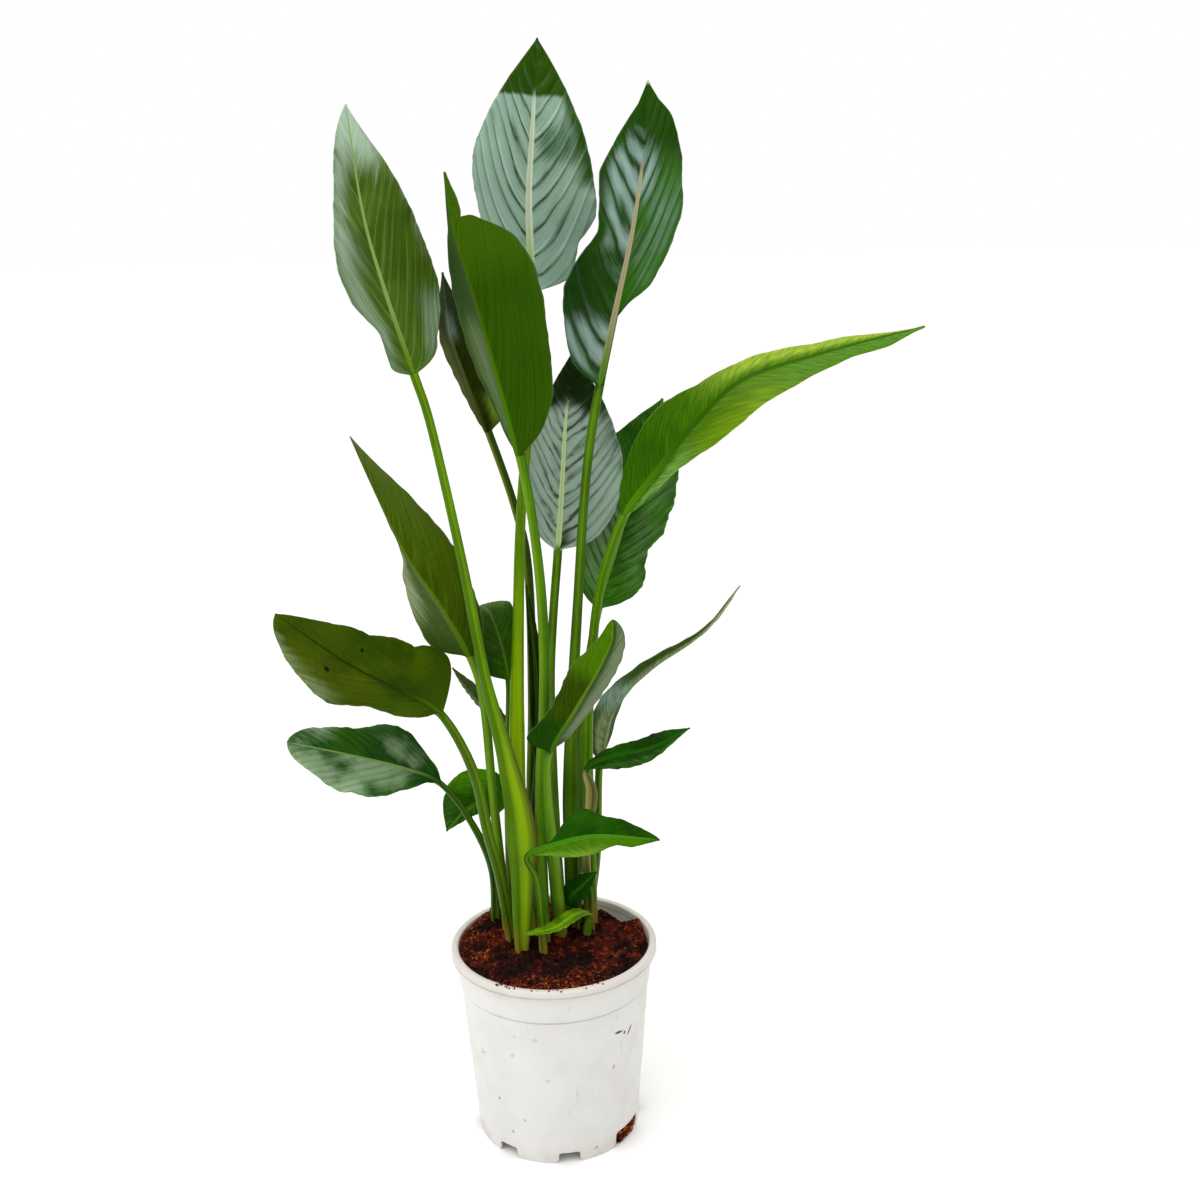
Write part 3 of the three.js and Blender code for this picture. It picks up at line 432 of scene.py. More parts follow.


# ------------------------------------------------------------------ the leaves
# foot, stalk, rib, half, widest, base, tip, tail, edge, face, face_tip, fold, curl and wave are
# the real sizes of each leaf in millimetres and degrees, as in the part's own source. The last
# fitting made the feet of four stalks a little thicker and one narrow leaf a little broader.
# edge     for each half, where the margin swells or draws in: [along the blade, mm outwards]
# veins    [distance between furrows in mm, slope at the base, slope at the tip, upward curve]
# lean     how much more the veins of each half slope
# pleat    height of the pleats along the furrows in mm, and ruffle of the margin's small waves
# sheen_and_bloom  patches of the sky's sheen, painted on the upper face: [side, from, to,
#          share from, share to, strength, softness of the edge]
# pale     pale patches on the underside, of its glaucous coat with some painted sheen, in the
#          same words
# paint    patches of another colour on the upper face, shade on the underside, and stem on the
#          stalk, in the same words with the colour before the strength
# glaze    patches like paint where the painted sheen is taken away too
# spots    dead spots on the upper face: [along, across, half their length, half their width]

FLAT = [(0, 0), (1, 0)]
FOOT_BOTTOM = 174
FOOT_TOP = 206
BLADE_THICKNESS = 1.0
NECK_SPREAD = 0.02
RIB_SHARE = 0.09  # of a half's columns, these carry the midrib
MARGIN_SHARE = 0.97
LARGE = {"blade": 150, "per_span": 9, "half": 17}
SMALL = {"blade": 84, "per_span": 8, "half": 12}
USUAL_LEAF = dict(base=(0.8, 0.8), tip=(1, 1), tail=0, edge=(FLAT, FLAT), wave=(0, 1, 0), ruffle=0.6,
                  lean=(1, 1), pleat=0.3, sheen_and_bloom=[], pale=[], paint=[], shade=[], glaze=[], stem=[],
                  spots=[])
LEAVES = {
    "tall_left": dict(
        size=LARGE, foot=(-32, -17, 7.5),
        stalk=[(-28, -16, 325, 16.5), (-41, -19, 415, 9), (-56, -29, 495, 5.5), (-71, -50, 616, 4.5),
               (-91, -60, 737, 4), (-104, -62, 787, 4)],
        rib=[(-125, -62, 859), (-142, -50, 926), (-155, -22, 1015)],
        half=(36, 59), widest=(0.58, 0.45), base=(1.25, 1.25), tip=(0.8, 1.1),
        edge=([(0, 12), (0.03, 12), (0.08, 4), (0.18, -6), (0.28, 2), (0.4, 5), (0.5, -1), (0.6, -10),
               (0.7, -11), (0.8, -7), (0.9, -4), (1, 0)],
              [(0, 15), (0.03, 8), (0.1, -3), (0.2, -3), (0.3, -7), (0.4, -13), (0.5, -12),
               (0.6, -10), (0.7, -9), (0.8, -4), (0.9, -2), (1, 0)]),
        face=(0.5, -1, 0.1), face_tip=(0.55, -1, 0.3), fold=(16, 12), curl=-10, wave=(3, 3, 0.1),
        veins=(20, 2.0, 3.0, 0.01), pleat=0.15,
        sheen_and_bloom=[(0, 0.79, 1.3, 0, 1.1, 0.95, 0.32), (-1, 0.0, 0.9, 0.5, 1.1, 0.6, 0.3),
               (1, 0.0, 0.3, 0.55, 1.1, 0.4, 0.2), (1, 0.3, 0.8, 0.9, 1.2, 0.3)],
        paint=[(1, 0.2, 0.65, 0.3, 1.1, "#2a4204", 0.7, 0.25)],
        # the first stem patch is a painted highlight down the sheath's middle
        stem=[(0, 0.0, 0.45, 0, 0.45, "#8fb40a", 0.75, 0.2),
              (1, 0.18, 0.5, 0.45, 1.1, "#667a18", 0.8, 0.15),
              (1, 0.18, 0.5, 0.85, 1.1, "#5c4a14", 0.8, 0.15), (-1, 0.4, 0.75, 0.5, 1.1, "#4a7408", 0.6),
              (0, -0.1, 0.09, 0, 1.1, "#a08c2c", 0.75, 0.05)]),
    "top_centre": dict(
        size=LARGE, foot=(-22, 8, 7.5),
        stalk=[(-32, 15, 297, 8.5), (-31, 22, 424, 8), (-27, 32, 519, 6), (-21, 44, 633, 5),
               (-9, 56, 749, 5), (-4, 64, 850, 5)],
        rib=[(-4, 70, 934), (2, 76, 1006), (8, 86, 1079)],
        half=(57, 66), widest=(0.44, 0.4),
        edge=([(0, 0), (0.2, -9), (0.3, -9), (0.4, -6), (0.5, -2), (0.6, -1), (1, 0)],
              [(0, 2), (0.05, 2), (0.1, -6), (0.19, -12), (0.26, -3), (0.3, 0), (0.4, -3), (0.5, -5),
               (0.6, -5), (0.7, -5), (0.8, -3), (0.9, -1), (1, 0)]),
        face=(0, -1, 0.2), fold=(12, 8), curl=-8, wave=(2, 3, 0.2),
        veins=(21, 0.4, 1.3, 0.014), lean=(1.75, 1), pleat=0.5,
        sheen_and_bloom=[(-1, -0.5, 0.775, 0, 1.1, 1.0, 0.03), (1, -0.5, 0.32, 0, 1.1, 1.0, 0.2),
               (1, 0.2, 0.775, 0, 1.1, 0.8, 0.03)],
        paint=[(0, 0.775, 1.5, 0, 1.1, "#1a3e01", 0.95, 0.03)],
        glaze=[(1, 0.53, 0.67, 0.2, 0.75, "#2c5a30", 0.6, 0.1),
               (1, 0.42, 0.85, 0.8, 1.3, "#1f4404", 0.75, 0.12)],
        # the second stem patch is a painted highlight on the stalk
        stem=[(0, 0.62, 1.1, 0, 1.1, "#4f7a10", 0.85, 0.2), (0, 0.3, 0.6, 0, 0.7, "#94b40a", 0.8, 0.2)]),
    "top_right": dict(
        size=LARGE, foot=(20, 44, 8.5),
        stalk=[(20, 42, 339, 8.5), (25, 42, 448, 6), (33, 40, 552, 5), (41, 38, 648, 4.5),
               (49, 34, 712, 4.5), (59, 30, 764, 4.5)],
        rib=[(73, 24, 825), (91, 20, 901), (102, 24, 966), (108, 38, 1035)],
        half=(56, 41), widest=(0.38, 0.68), base=(0.8, 1.6), tip=(0.85, 0.8), tail=0.04,
        edge=([(0, 0), (0.1, -6), (0.2, -6), (0.3, -3), (0.4, -12), (0.5, -23), (0.6, -12), (0.7, 0),
               (1, 0)],
              [(0, -2), (0.05, -12), (0.1, -19), (0.2, -27), (0.3, -19), (0.36, -8), (0.4, -6),
               (0.5, -2), (0.6, 1), (0.7, -3), (0.8, 1), (0.9, 7), (0.95, 5), (1, 0)]),
        face=(-0.1, -1, 0.1), face_tip=(0.1, -1, 0.3), fold=(16, 10), curl=-14, wave=(4, 3, 0.3),
        veins=(26, 0.6, 1.5, 0.012), lean=(1, 2.5), pleat=0.5,
        sheen_and_bloom=[(-1, 0.0, 0.2, 0.0, 1.1, 1.0, 0.16), (-1, 0.2, 0.45, 0, 0.6, 0.4, 0.16),
               (-1, 0.45, 0.8, 0, 0.85, 0.9, 0.16), (1, 0.6, 0.8, 0, 0.4, 0.7, 0.16),
               (1, 0.35, 0.72, 0.1, 1.1, 0.4, 0.25)],
        glaze=[(-1, 0.22, 0.42, 0.15, 1.2, "#0a2e0c", 0.7, 0.16),
               (-1, 0.3, 0.75, 0.85, 1.2, "#0a2e0c", 0.7, 0.2), (-1, -0.1, 0.05, 0, 1.2, "#154408", 0.8)],
        paint=[(1, 0.0, 0.42, 0, 1.1, "#265c06", 0.8), (1, 0.35, 0.75, 0, 1.1, "#366a22", 0.6, 0.2),
               (0, 0.82, 1.5, 0, 1.1, "#0c3a02", 0.95, 0.08), (0, 0.99, 1.5, 0, 1.1, "#c4cfb0", 0.9, 0.01)],
        stem=[(0, 0.03, 0.36, 0, 1.1, "#2a4a0a", 0.6, 0.12)]),
    "front_centre": dict(
        size=LARGE, foot=(-9, -4, 6),
        stalk=[(-9, -3, 360, 5.5), (-1, -13, 467, 5.5), (0, -22, 560, 5), (-5, -30, 639, 4.5),
               (-15, -38, 710, 4.5)],
        rib=[(-36, -46, 805), (-52, -48, 866), (-64, -44, 908), (-72, -28, 957)],
        half=(66, 44), widest=(0.6, 0.5), base=(1.3, 1), tip=(0.42, 0.8), tail=0.17,
        edge=([(0, 0), (0.2, 0), (0.3, -3), (0.4, -1), (0.5, 4), (0.6, 8), (0.7, 9), (0.8, 0), (0.84, 9),
               (0.9, 8), (0.95, 4), (1, 0)],
              [(0, 0), (0.1, -6), (0.2, -8), (0.3, 0), (0.4, 9), (0.5, 15), (0.6, 17), (0.7, 13),
               (0.8, 12), (0.9, 7), (1, 0)]),
        face=(0.75, 0.8, 0), face_tip=(0.75, 0.6, 0.2), fold=(24, 20), curl=-12, wave=(2, 2, 0.2),
        veins=(9, 2.5, 3.5, 0.006),
        pale=[(1, 0.05, 0.5, 0.15, 0.85, 0.42, 0.2)],
        shade=[(-1, 0.65, 1.3, 0, 1.1, "#3c5c06", 0.7, 0.2), (1, 0.5, 0.78, 0, 1.1, "#1d3a04", 0.8),
               (1, 0.0, 0.55, 0.9, 1.2, "#284a08", 0.8)]),
    "behind_left": dict(
        size=LARGE, foot=(-22, 58, 5.5),
        stalk=[(-22, 64, 331, 5), (-17, 68, 440, 5), (-17, 74, 576, 4.5), (-29, 78, 642, 4),
               (-52, 84, 715, 4)],
        rib=[(-70, 86, 766), (-83, 84, 810), (-89, 78, 870)],
        half=(26, 26), widest=(0.4, 0.4),
        edge=([(0, 2), (0.05, 9), (0.12, 7), (0.2, 0), (1, 0)],
              [(0, 0), (0.1, 3), (0.2, 5), (0.3, 7), (0.4, 9), (0.5, 12), (0.6, 12), (0.7, 5), (1, 0)]),
        face=(0.6, 0.7, 0.4), fold=(30, 20), curl=-10,
        veins=(8, 1.0, 1.8, 0.006),
        shade=[(0, 0.72, 1.2, 0, 1.2, "#202c18", 0.85, 0.2), (0, 0.6, 0.75, 0, 0.3, "#566a62", 0.7, 0.12),
               (1, 0.1, 0.6, 0.5, 1.2, "#4c5418", 0.6, 0.2),
               (-1, 0.05, 0.2, 0.4, 1.2, "#6f902a", 0.8, 0.12),
               (-1, 0.16, 0.34, 0.75, 1.2, "#7a8e92", 0.8, 0.12),
               (0, 0.1, 0.25, 0, 0.6, "#34340a", 0.5, 0.15)]),
    "middle_back": dict(
        size=LARGE, foot=(6, 26, 8),
        stalk=[(1, 36, 321, 8), (2, 48, 457, 5.5), (7, 58, 527, 4.5), (14, 66, 598, 4.5)],
        rib=[(20, 72, 667), (25, 78, 726), (34, 86, 793)],
        half=(36, 60), widest=(0.45, 0.45),
        edge=([(0, 0), (0.4, 0), (0.5, 2), (0.6, -3), (0.8, -2), (1, 0)],
              [(0, 0), (0.3, 2), (0.6, -3), (1, 0)]),
        face=(-0.1, -1, 0.25), fold=(10, 8), curl=-10, wave=(3, 3, 0.4),
        veins=(13, 0.6, 1.0, 0.008), lean=(1.8, 1),
        sheen_and_bloom=[(0, -0.1, 0.72, 0, 1.1, 0.95, 0.18)],
        glaze=[(1, 0.5, 0.85, 0.7, 1.3, "#0c2c10", 0.5, 0.35),
               (1, -0.1, 0.12, 0, 0.5, "#0a260c", 0.7, 0.2)],
        stem=[(0, 0.03, 0.4, 0, 1.1, "#35580a", 0.5, 0.15)]),
    "arching_right": dict(
        size=LARGE, foot=(38, 54, 7.5),
        stalk=[(38, 52, 290, 7.5), (39, 48, 402, 5.5), (46, 42, 500, 5), (57, 36, 573, 4.5),
               (80, 30, 638, 4.5)],
        rib=[(108, 24, 677), (146, 14, 726), (190, 4, 768), (256, -8, 791), (352, -22, 816)],
        half=(42, 40), widest=(0.3, 0.3), tip=(1.3, 1.3),
        edge=([(0, -8), (0.1, -6), (0.2, -2), (0.3, -1), (0.4, -13), (0.5, -18), (0.6, -14), (0.7, -10),
               (0.8, -3), (1, 0)],
              [(0, -10), (0.1, -18), (0.2, -18), (0.3, -8), (0.4, 3), (0.5, 11), (0.6, 10), (0.7, 4),
               (0.8, 2), (0.9, 9), (1, 0)]),
        face=(-0.35, -0.75, 0.5), face_tip=(-0.2, -0.7, 0.8), fold=(22, 16), curl=-14,
        wave=(2, 2, 0), veins=(12, 0.9, 1.8, 0.006),
        paint=[(-1, 0.28, 0.5, 0, 1.2, "#406c04", 0.7, 0.2),
               (-1, 0.45, 1.2, 0.3, 1.2, "#94b038", 0.9, 0.2),
               (-1, 0.45, 1.2, 0, 0.3, "#4c7a0e", 0.6, 0.2), (1, 0.22, 0.65, 0, 1.2, "#507602", 0.8, 0.2),
               (1, 0.6, 1.2, 0, 1.2, "#54841a", 0.6, 0.2), (1, 0.3, 0.6, 0.6, 1.2, "#7a9c14", 0.5, 0.2),
               # the last patch is a painted highlight along the lower half's margin near the base
               (1, 0.04, 0.26, 0.35, 1.2, "#7cac50", 0.6, 0.16)]),
    "behind_right": dict(
        size=LARGE, foot=(22, 66, 6),
        stalk=[(29, 72, 326, 5), (36, 82, 434, 4.5), (53, 92, 530, 4.5)],
        rib=[(75, 98, 599), (98, 104, 670), (122, 112, 741)],
        half=(40, 40), widest=(0.45, 0.45),
        edge=([(0, 0), (0.1, -3), (0.3, 0), (0.5, 4), (0.7, 13), (0.8, 11), (0.9, 6), (1, 0)],
              [(0, 0), (0.1, 5), (0.2, 5), (0.27, -5), (0.33, -6), (0.4, 1), (0.5, 3), (0.7, 9),
               (0.85, 5), (1, 0)]),
        face=(-0.1, -1, 0.3), fold=(8, 6), curl=-8, wave=(4, 3, 0.2),
        veins=(13, 0.8, 1.4, 0.006), ruffle=1.6,
        sheen_and_bloom=[(-1, 0.05, 0.5, 0, 0.9, 0.5, 0.2), (1, 0.1, 0.75, 0.2, 1.1, 0.35, 0.25)]),
    "narrow_left": dict(
        size=LARGE, foot=(-48, 18, 5.5),
        stalk=[(-53, 6, 302, 5), (-57, 2, 379, 4.5), (-61, -4, 465, 4.5), (-72, -8, 512, 4)],
        rib=[(-97, -14, 566), (-124, -18, 614), (-150, -22, 678), (-169, -28, 729)],
        half=(45, 47), widest=(0.42, 0.25), tip=(0.8, 1.8),
        edge=([(0, -4), (0.2, -6), (0.3, -4), (0.4, 2), (0.5, 8), (0.6, 11), (0.7, 14), (0.8, 17),
               (0.9, 13), (1, 0)],
              [(0, 5), (0.1, 3), (0.2, -1), (0.3, -2), (0.4, -8), (0.46, -22), (0.53, -27),
               (0.6, -17), (0.7, -3), (1, 0)]),
        face=(0.1, 1, 0.2), face_tip=(0.95, 0.2, 0.2), fold=(22, 20), curl=-8,
        veins=(8, 1.5, 2.5, 0.006), pale=[(1, 0.2, 0.55, 0.55, 1.2, 0.5, 0.2)],
        shade=[(1, 0.1, 0.5, 0, 1.2, "#42582a", 0.8, 0.2), (0, -0.1, 0.15, 0.4, 1.2, "#1c3a04", 0.7, 0.2),
               (-1, 0.3, 1.2, 0, 1.2, "#435c06", 0.6, 0.3)]),
    "broad_left": dict(
        size=LARGE, foot=(-44, 2, 6),
        stalk=[(-51, -14, 279, 5.5), (-60, -28, 334, 5.5), (-71, -42, 408, 5), (-97, -58, 471, 4)],
        rib=[(-131, -76, 501), (-176, -92, 534), (-231, -110, 585)],
        half=(46, 48), widest=(0.62, 0.25), base=(1.3, 0.8), tip=(0.55, 0.9),
        edge=([(0, -4), (0.2, -5), (0.3, -8), (0.4, -13), (0.5, -6), (0.6, 3), (0.7, 0), (0.8, -3),
               (0.9, -4), (1, 0)],
              [(0, 34), (0.04, 34), (0.1, 25), (0.2, 9), (0.3, 10), (0.4, 6), (0.5, -2), (0.6, 1),
               (1, 0)]),
        face=(0.3, -0.55, 0.75), face_tip=(0.1, -0.6, 0.8), fold=(8, 6), curl=-16,
        wave=(3, 2, 0.1), veins=(12, 1.2, 3.0, 0.006), sheen_and_bloom=[(-1, 0.55, 0.97, 0.7, 1.3, 0.5, 0.2)],
        paint=[(0, 0.1, 0.45, 0, 0.3, "#1c3604", 0.6), (0, -0.1, 0.12, 0, 1.2, "#304a03", 0.7),
               (-1, 0.35, 0.9, 0.2, 0.8, "#424c04", 0.6, 0.2), (1, 0.6, 1.1, 0, 1.2, "#344a04", 0.5, 0.2)],
        spots=[(0.52, 0.52, 0.012, 0.045), (0.656, -0.42, 0.015, 0.045)]),
    "low_left": dict(
        size=LARGE, foot=(-62, 34, 5),
        stalk=[(-62, 22, 274, 4.5), (-81, 8, 334, 3.5), (-107, -8, 381, 3)],
        rib=[(-139, -22, 403), (-188, -40, 425), (-242, -60, 447)],
        half=(40, 40), widest=(0.6, 0.5), base=(1.4, 1.2), tip=(0.55, 0.6),
        edge=([(0, -4), (0.1, -10), (0.2, -6), (0.3, -4), (0.4, 1), (0.5, 6), (0.6, 2), (1, 0)],
              [(0, 0), (0.1, 0), (0.17, 8), (0.22, 11), (0.3, 7), (0.4, 7), (0.5, 0), (0.6, -9),
               (0.7, -7), (0.85, -1), (1, 0)]),
        face=(0.2, -0.55, 0.8), fold=(8, 6), curl=-12, wave=(3, 3, 0.3),
        veins=(14, 1.3, 1.8, 0.006),
        sheen_and_bloom=[(-1, 0.22, 1.2, 0, 1.2, 0.7, 0.2), (1, 0.72, 1.2, 0, 1.2, 0.6, 0.2),
               (1, 0.08, 0.45, 0.2, 0.95, 0.4, 0.2)],
        paint=[(1, 0.5, 0.75, 0, 1.2, "#2f6010", 0.8), (-1, 0.25, 1.2, 0, 1.2, "#2c5a20", 0.6)],
        pleat=1.0),
    "small_left": dict(
        size=SMALL, foot=(-64, 52, 4.5),
        stalk=[(-61, 52, 247, 4), (-58, 46, 290, 3.5), (-60, 38, 325, 3)],
        rib=[(-73, 30, 342), (-89, 22, 336), (-106, 14, 320)],
        half=(10, 36), widest=(0.4, 0.35),
        face=(0.1, -0.9, 0.4), fold=(8, 5), curl=-10, veins=(8, 0.8, 1.4, 0.006),
        sheen_and_bloom=[(0, 0, 1, 0, 1.1, 0.2)]),
    "folded_front": dict(
        size=LARGE, foot=(7, 8, 7),
        stalk=[(6, 0, 244, 7), (2, -13, 313, 6), (-1, -25, 380, 4.5), (3, -34, 423, 4)],
        rib=[(28, -42, 468), (52, -48, 510), (64, -50, 536), (66, -48, 556)],
        half=(35, 36), widest=(0.6, 0.38), base=(0.8, 0.6), tip=(0.6, 0.7),
        edge=([(0, 8), (0.05, 4), (0.2, 0), (1, 0)],
              [(0, 8), (0.05, 6), (0.1, 1), (0.2, -9), (0.3, -12), (0.4, -12), (0.5, -9), (0.6, -4),
               (0.8, -3), (1, 0)]),
        face=(-0.6, 0.8, 0.2), fold=(26, 26), curl=-22,
        veins=(8, 1.2, 2.2, 0.006),
        pale=[(-1, 0.0, 0.95, 0.4, 1.2, 0.4, 0.3)],
        shade=[(1, -0.1, 0.22, 0, 1.2, "#153c06", 0.9), (1, 0.25, 0.6, 0.2, 1.2, "#304404", 0.7),
               (1, 0.6, 1.2, 0, 1.2, "#4a7404", 0.9, 0.2), (-1, 0.1, 0.7, 0, 0.35, "#203c0a", 0.8),
               (-1, 0.1, 1.2, 0.4, 1.2, "#566a3c", 0.8)]),
    "thin_right": dict(
        size=SMALL, foot=(38, 74, 5),
        stalk=[(46, 82, 265, 4.5), (51, 88, 366, 4)],
        rib=[(65, 80, 426), (104, 66, 472), (154, 50, 512), (192, 30, 566)],
        half=(30, 26), widest=(0.4, 0.4),
        edge=([(0, 0), (0.3, 0), (0.4, 4), (0.5, 10), (0.6, 7), (0.8, 5), (0.9, 4), (1, 0)],
              [(0, 0), (0.3, -3), (0.5, -9), (0.8, -11), (0.9, -7), (1, 0)]),
        face=(-0.5, 0.55, 0.6), fold=(24, 20), curl=-10, veins=(8, 1.4, 2.4, 0.006),
        shade=[(1, 0.3, 0.98, 0.25, 1.2, "#2a4408", 0.9, 0.12), (-1, 0.3, 0.96, 0, 1.2, "#8f9a74", 0.9),
               (1, 0.3, 0.96, 0, 0.25, "#8f9a74", 0.6), (0, 0.22, 0.36, 0, 1.2, "#7f9a8c", 0.7, 0.12),
               (0, -0.1, 0.24, 0.4, 1.2, "#2c3c14", 0.7), (0, 0.0, 0.22, 0, 0.5, "#8c9870", 0.8),
               (0, 0.95, 1.2, 0, 1.2, "#b4b49c", 0.9, 0.05)]),
    "small_right": dict(
        size=SMALL, foot=(37, 34, 5),
        stalk=[(35, 26, 290, 4.5), (42, 22, 352, 6.5), (38, 16, 383, 3)],
        rib=[(61, 8, 399), (101, -4, 412), (139, -18, 437)],
        half=(27, 24), widest=(0.45, 0.45),
        edge=([(0, -6), (0.1, -14), (0.3, -16), (0.5, -14), (0.6, -9), (0.7, -5), (0.8, -2), (1, 0)],
              [(0, -6), (0.1, -9), (0.2, -9), (0.3, -7), (0.5, -6), (0.8, -3), (1, 0)]),
        face=(-0.3, -0.8, 0.5), face_tip=(-0.1, -0.3, 1), fold=(14, 8), curl=-14,
        veins=(7, 0.8, 1.6, 0.006),
        stem=[(0, 0.45, 0.98, 0, 1.1, "#94884e", 0.9), (1, 0.5, 0.98, 0.35, 1.1, "#3c3a14", 0.75, 0.12),
              (-1, 0.55, 0.98, 0.3, 0.9, "#b4a66c", 0.7, 0.12)], sheen_and_bloom=[(1, 0, 1, 0.5, 1.1, 0.3)]),
    "low_right": dict(
        size=SMALL, foot=(-10, -22, 4.5),
        stalk=[(-13, -28, 280, 3.5), (-22, -35, 313, 3)],
        rib=[(11, -44, 331), (50, -52, 341), (107, -62, 340)],
        half=(38, 22), widest=(0.5, 0.4), base=(3, 1), tip=(0.8, 0.9),
        edge=([(0, 0), (0.1, -9), (0.2, -18), (0.3, -17), (0.4, -10), (0.5, -10), (0.6, -18),
               (0.7, -15), (0.8, -12), (0.9, -7), (1, 0)],
              [(0, -4), (0.1, -9), (0.2, -9), (0.3, -6), (0.4, -4), (0.5, -2), (0.6, -4), (0.7, -8),
               (0.8, -2), (1, 0)]),
        face=(0, -0.8, 0.6), fold=(16, 10), curl=-16, wave=(2, 2, 0.2), veins=(8, 0.8, 1.6, 0.006),
        paint=[(1, 0.05, 0.95, 0, 1.2, "#467606", 0.75, 0.2),
               (1, 0.1, 0.6, 0.75, 1.2, "#86a83a", 0.5, 0.2)]),
    "lowest_front": dict(
        size=SMALL, foot=(34, 14, 4.5),
        stalk=[(37, 9, 227, 3)],
        rib=[(25, -9, 237), (1, -35, 235), (-25, -50, 237)],
        half=(9, 11), widest=(0.55, 0.55), tip=(0.6, 0.6),
        face=(0.6, 0.6, 0.6), face_tip=(0, 0, 1), fold=(10, 8), curl=-6, veins=(6, 0.8, 1.6, 0.006)),
    "lowest_dark": dict(
        size=SMALL, foot=(22, 26, 4.5),
        stalk=[(18, 14, 225, 3.5), (16, 6, 238, 3)],
        rib=[(20, 1, 252), (30, -3, 264), (45, -8, 282)],
        half=(14, 12), widest=(0.4, 0.4),
        face=(-0.2, -0.8, 0.6), fold=(10, 6), curl=-10, veins=(6, 0.8, 1.6, 0.006)),
    "dark_arching": dict(
        size=LARGE, foot=(-30, 30, 6),
        stalk=[(-40, 38, 342, 4.5), (-40, 42, 418, 4), (-39, 44, 470, 3.5)],
        rib=[(-47, 48, 514), (-61, 62, 541), (-84, 96, 525), (-107, 128, 477)],
        half=(38, 28), widest=(0.4, 0.4),
        face=(0.5, -0.8, 0.2), face_tip=(-0.3, 0.4, 0.8), fold=(10, 6), curl=-20,
        veins=(8, 0.8, 1.6, 0.006), sheen_and_bloom=[(0, 0, 1, 0, 1.1, 0.12)]),
    "narrow_back": dict(
        size=SMALL, foot=(-46, 46, 5),
        stalk=[(-46, 62, 312, 4.5), (-44, 66, 377, 4), (-51, 60, 414, 3.5)],
        rib=[(-67, 52, 441), (-80, 46, 462), (-94, 38, 486)],
        half=(19, 19), widest=(0.35, 0.35),
        face=(0.5, 0.6, 0.5), fold=(20, 16), curl=-6, veins=(6, 1.2, 2.0, 0.006),
        pale=[(0, 0, 1, 0, 1.1, 0.1)]),
    "young_rolled": dict(
        size=SMALL, foot=(-14, 38, 5.5),
        stalk=[(-18, 50, 305, 5), (-13, 56, 380, 4)],
        rib=[(-12, 58, 454), (-14, 60, 507), (-19, 60, 564)],
        half=(11, 11), widest=(0.35, 0.35),
        face=(0.3, -1, 0.1), fold=(46, 42), curl=0, veins=(6, 1.6, 2.4, 0.006)),
}


def on_curve(points, stations):
    """Places and directions on a smooth curve through the points. Stations count its spans."""
    p = np.asarray(points, float)
    spans = len(p) - 1
    p = np.vstack([2 * p[0] - p[1], p, 2 * p[-1] - p[-2]])
    i = np.clip(np.floor(stations).astype(int), 0, spans - 1)
    w = (stations - i)[:, None]
    before, start, end, after = p[i], p[i + 1], p[i + 2], p[i + 3]
    leave, arrive = (end - before) / 2, (after - start) / 2
    place = ((2 * w**3 - 3 * w**2 + 1) * start + (w**3 - 2 * w**2 + w) * leave
             + (3 * w**2 - 2 * w**3) * end + (w**3 - w**2) * arrive)
    way = ((6 * w**2 - 6 * w) * start + (3 * w**2 - 4 * w + 1) * leave
           + (6 * w - 6 * w**2) * end + (3 * w**2 - 2 * w) * arrive)
    return place, way / np.linalg.norm(way, axis=1, keepdims=True)


def outline(t, widest, base, tip, tail):
    """A half's width along the blade, as a share of its greatest width."""
    s = t / (1 - tail)
    near = np.clip(1 - ((widest - s) / widest) ** 2, 0, 1) ** (0.5 * base)
    far = np.cos(np.pi / 2 * np.clip((s - widest) / (1 - widest), 0, 1)) ** tip
    return np.where(s >= 1, 0, np.where(s < widest, near, far))


def pushed(t, marks):
    """How far the margin is pushed out, in mm: straight between the marks, with soft corners."""
    places, pushes = zip(*marks)
    return sum(weight * np.interp(t + 0.0075 * step, places, pushes)
               for step, weight in zip(range(-3, 4), (1, 3, 5, 6, 5, 3, 1))) / 24


def smooth_between(value, low, high, soft):
    rise = np.clip((value - low) / soft + 0.5, 0, 1)
    fall = np.clip((high - value) / soft + 0.5, 0, 1)
    return rise * rise * (3 - 2 * rise) * fall * fall * (3 - 2 * fall)


def patch_over(run, share, low, high, inner, outer, soft=0.12):
    """A soft-edged patch: its strength along the leaf, at one share of the half-width."""
    across = smooth_between(np.full(len(run), share), inner if inner > 0 else -1, outer, 3 * soft)
    return smooth_between(run, low, high, soft) * across


def over(rows, colour, strength):
    """Lays a see-through colour over what is there."""
    under = rows[:, 3] * (1 - strength)
    total = strength + under
    for i in range(3):
        rows[:, i] = np.where(total > 0, (colour[i] * strength + rows[:, i] * under)
                              / np.maximum(total, 1e-6), 0)
    rows[:, 3] = total


# A channelled stalk of half-width 1: [share, across, up] from the middle outwards.
CHANNEL = np.array([(0, 0, 0.36), (0.09, 0.15, 0.4), (0.5, 0.42, 0.6), (0.85, 0.62, 0.74),
                    (0.95, 0.78, 0.68), (1, 0.88, 0.46)])
ROUND = np.array([(0, 0, -1), (0.05, 0.12, -0.99), (0.09, 0.3, -0.94), (0.3, 0.62, -0.76),
                  (0.5, 0.84, -0.5), (0.7, 0.96, -0.18), (0.85, 0.98, 0.1), (0.95, 0.96, 0.3),
                  (1, 0.88, 0.46)])


def ring_of(count):
    """The columns of one ring round the leaf: over the upper face from margin to margin, and back
    along the underside. A column is its share of the half-width, and whether it lies on top."""
    body = RIB_SHARE + (MARGIN_SHARE - RIB_SHARE) * (np.arange(1, count - 4) / (count - 5)) ** 0.9
    half = np.array([0, RIB_SHARE / 3, RIB_SHARE * 2 / 3, RIB_SHARE] + list(body) + [1.0])
    upper = [(share, True) for share in list(-half[::-1]) + list(half[1:])]
    return upper + [(-share, False) for share, _ in upper[1:]], len(upper) - 1


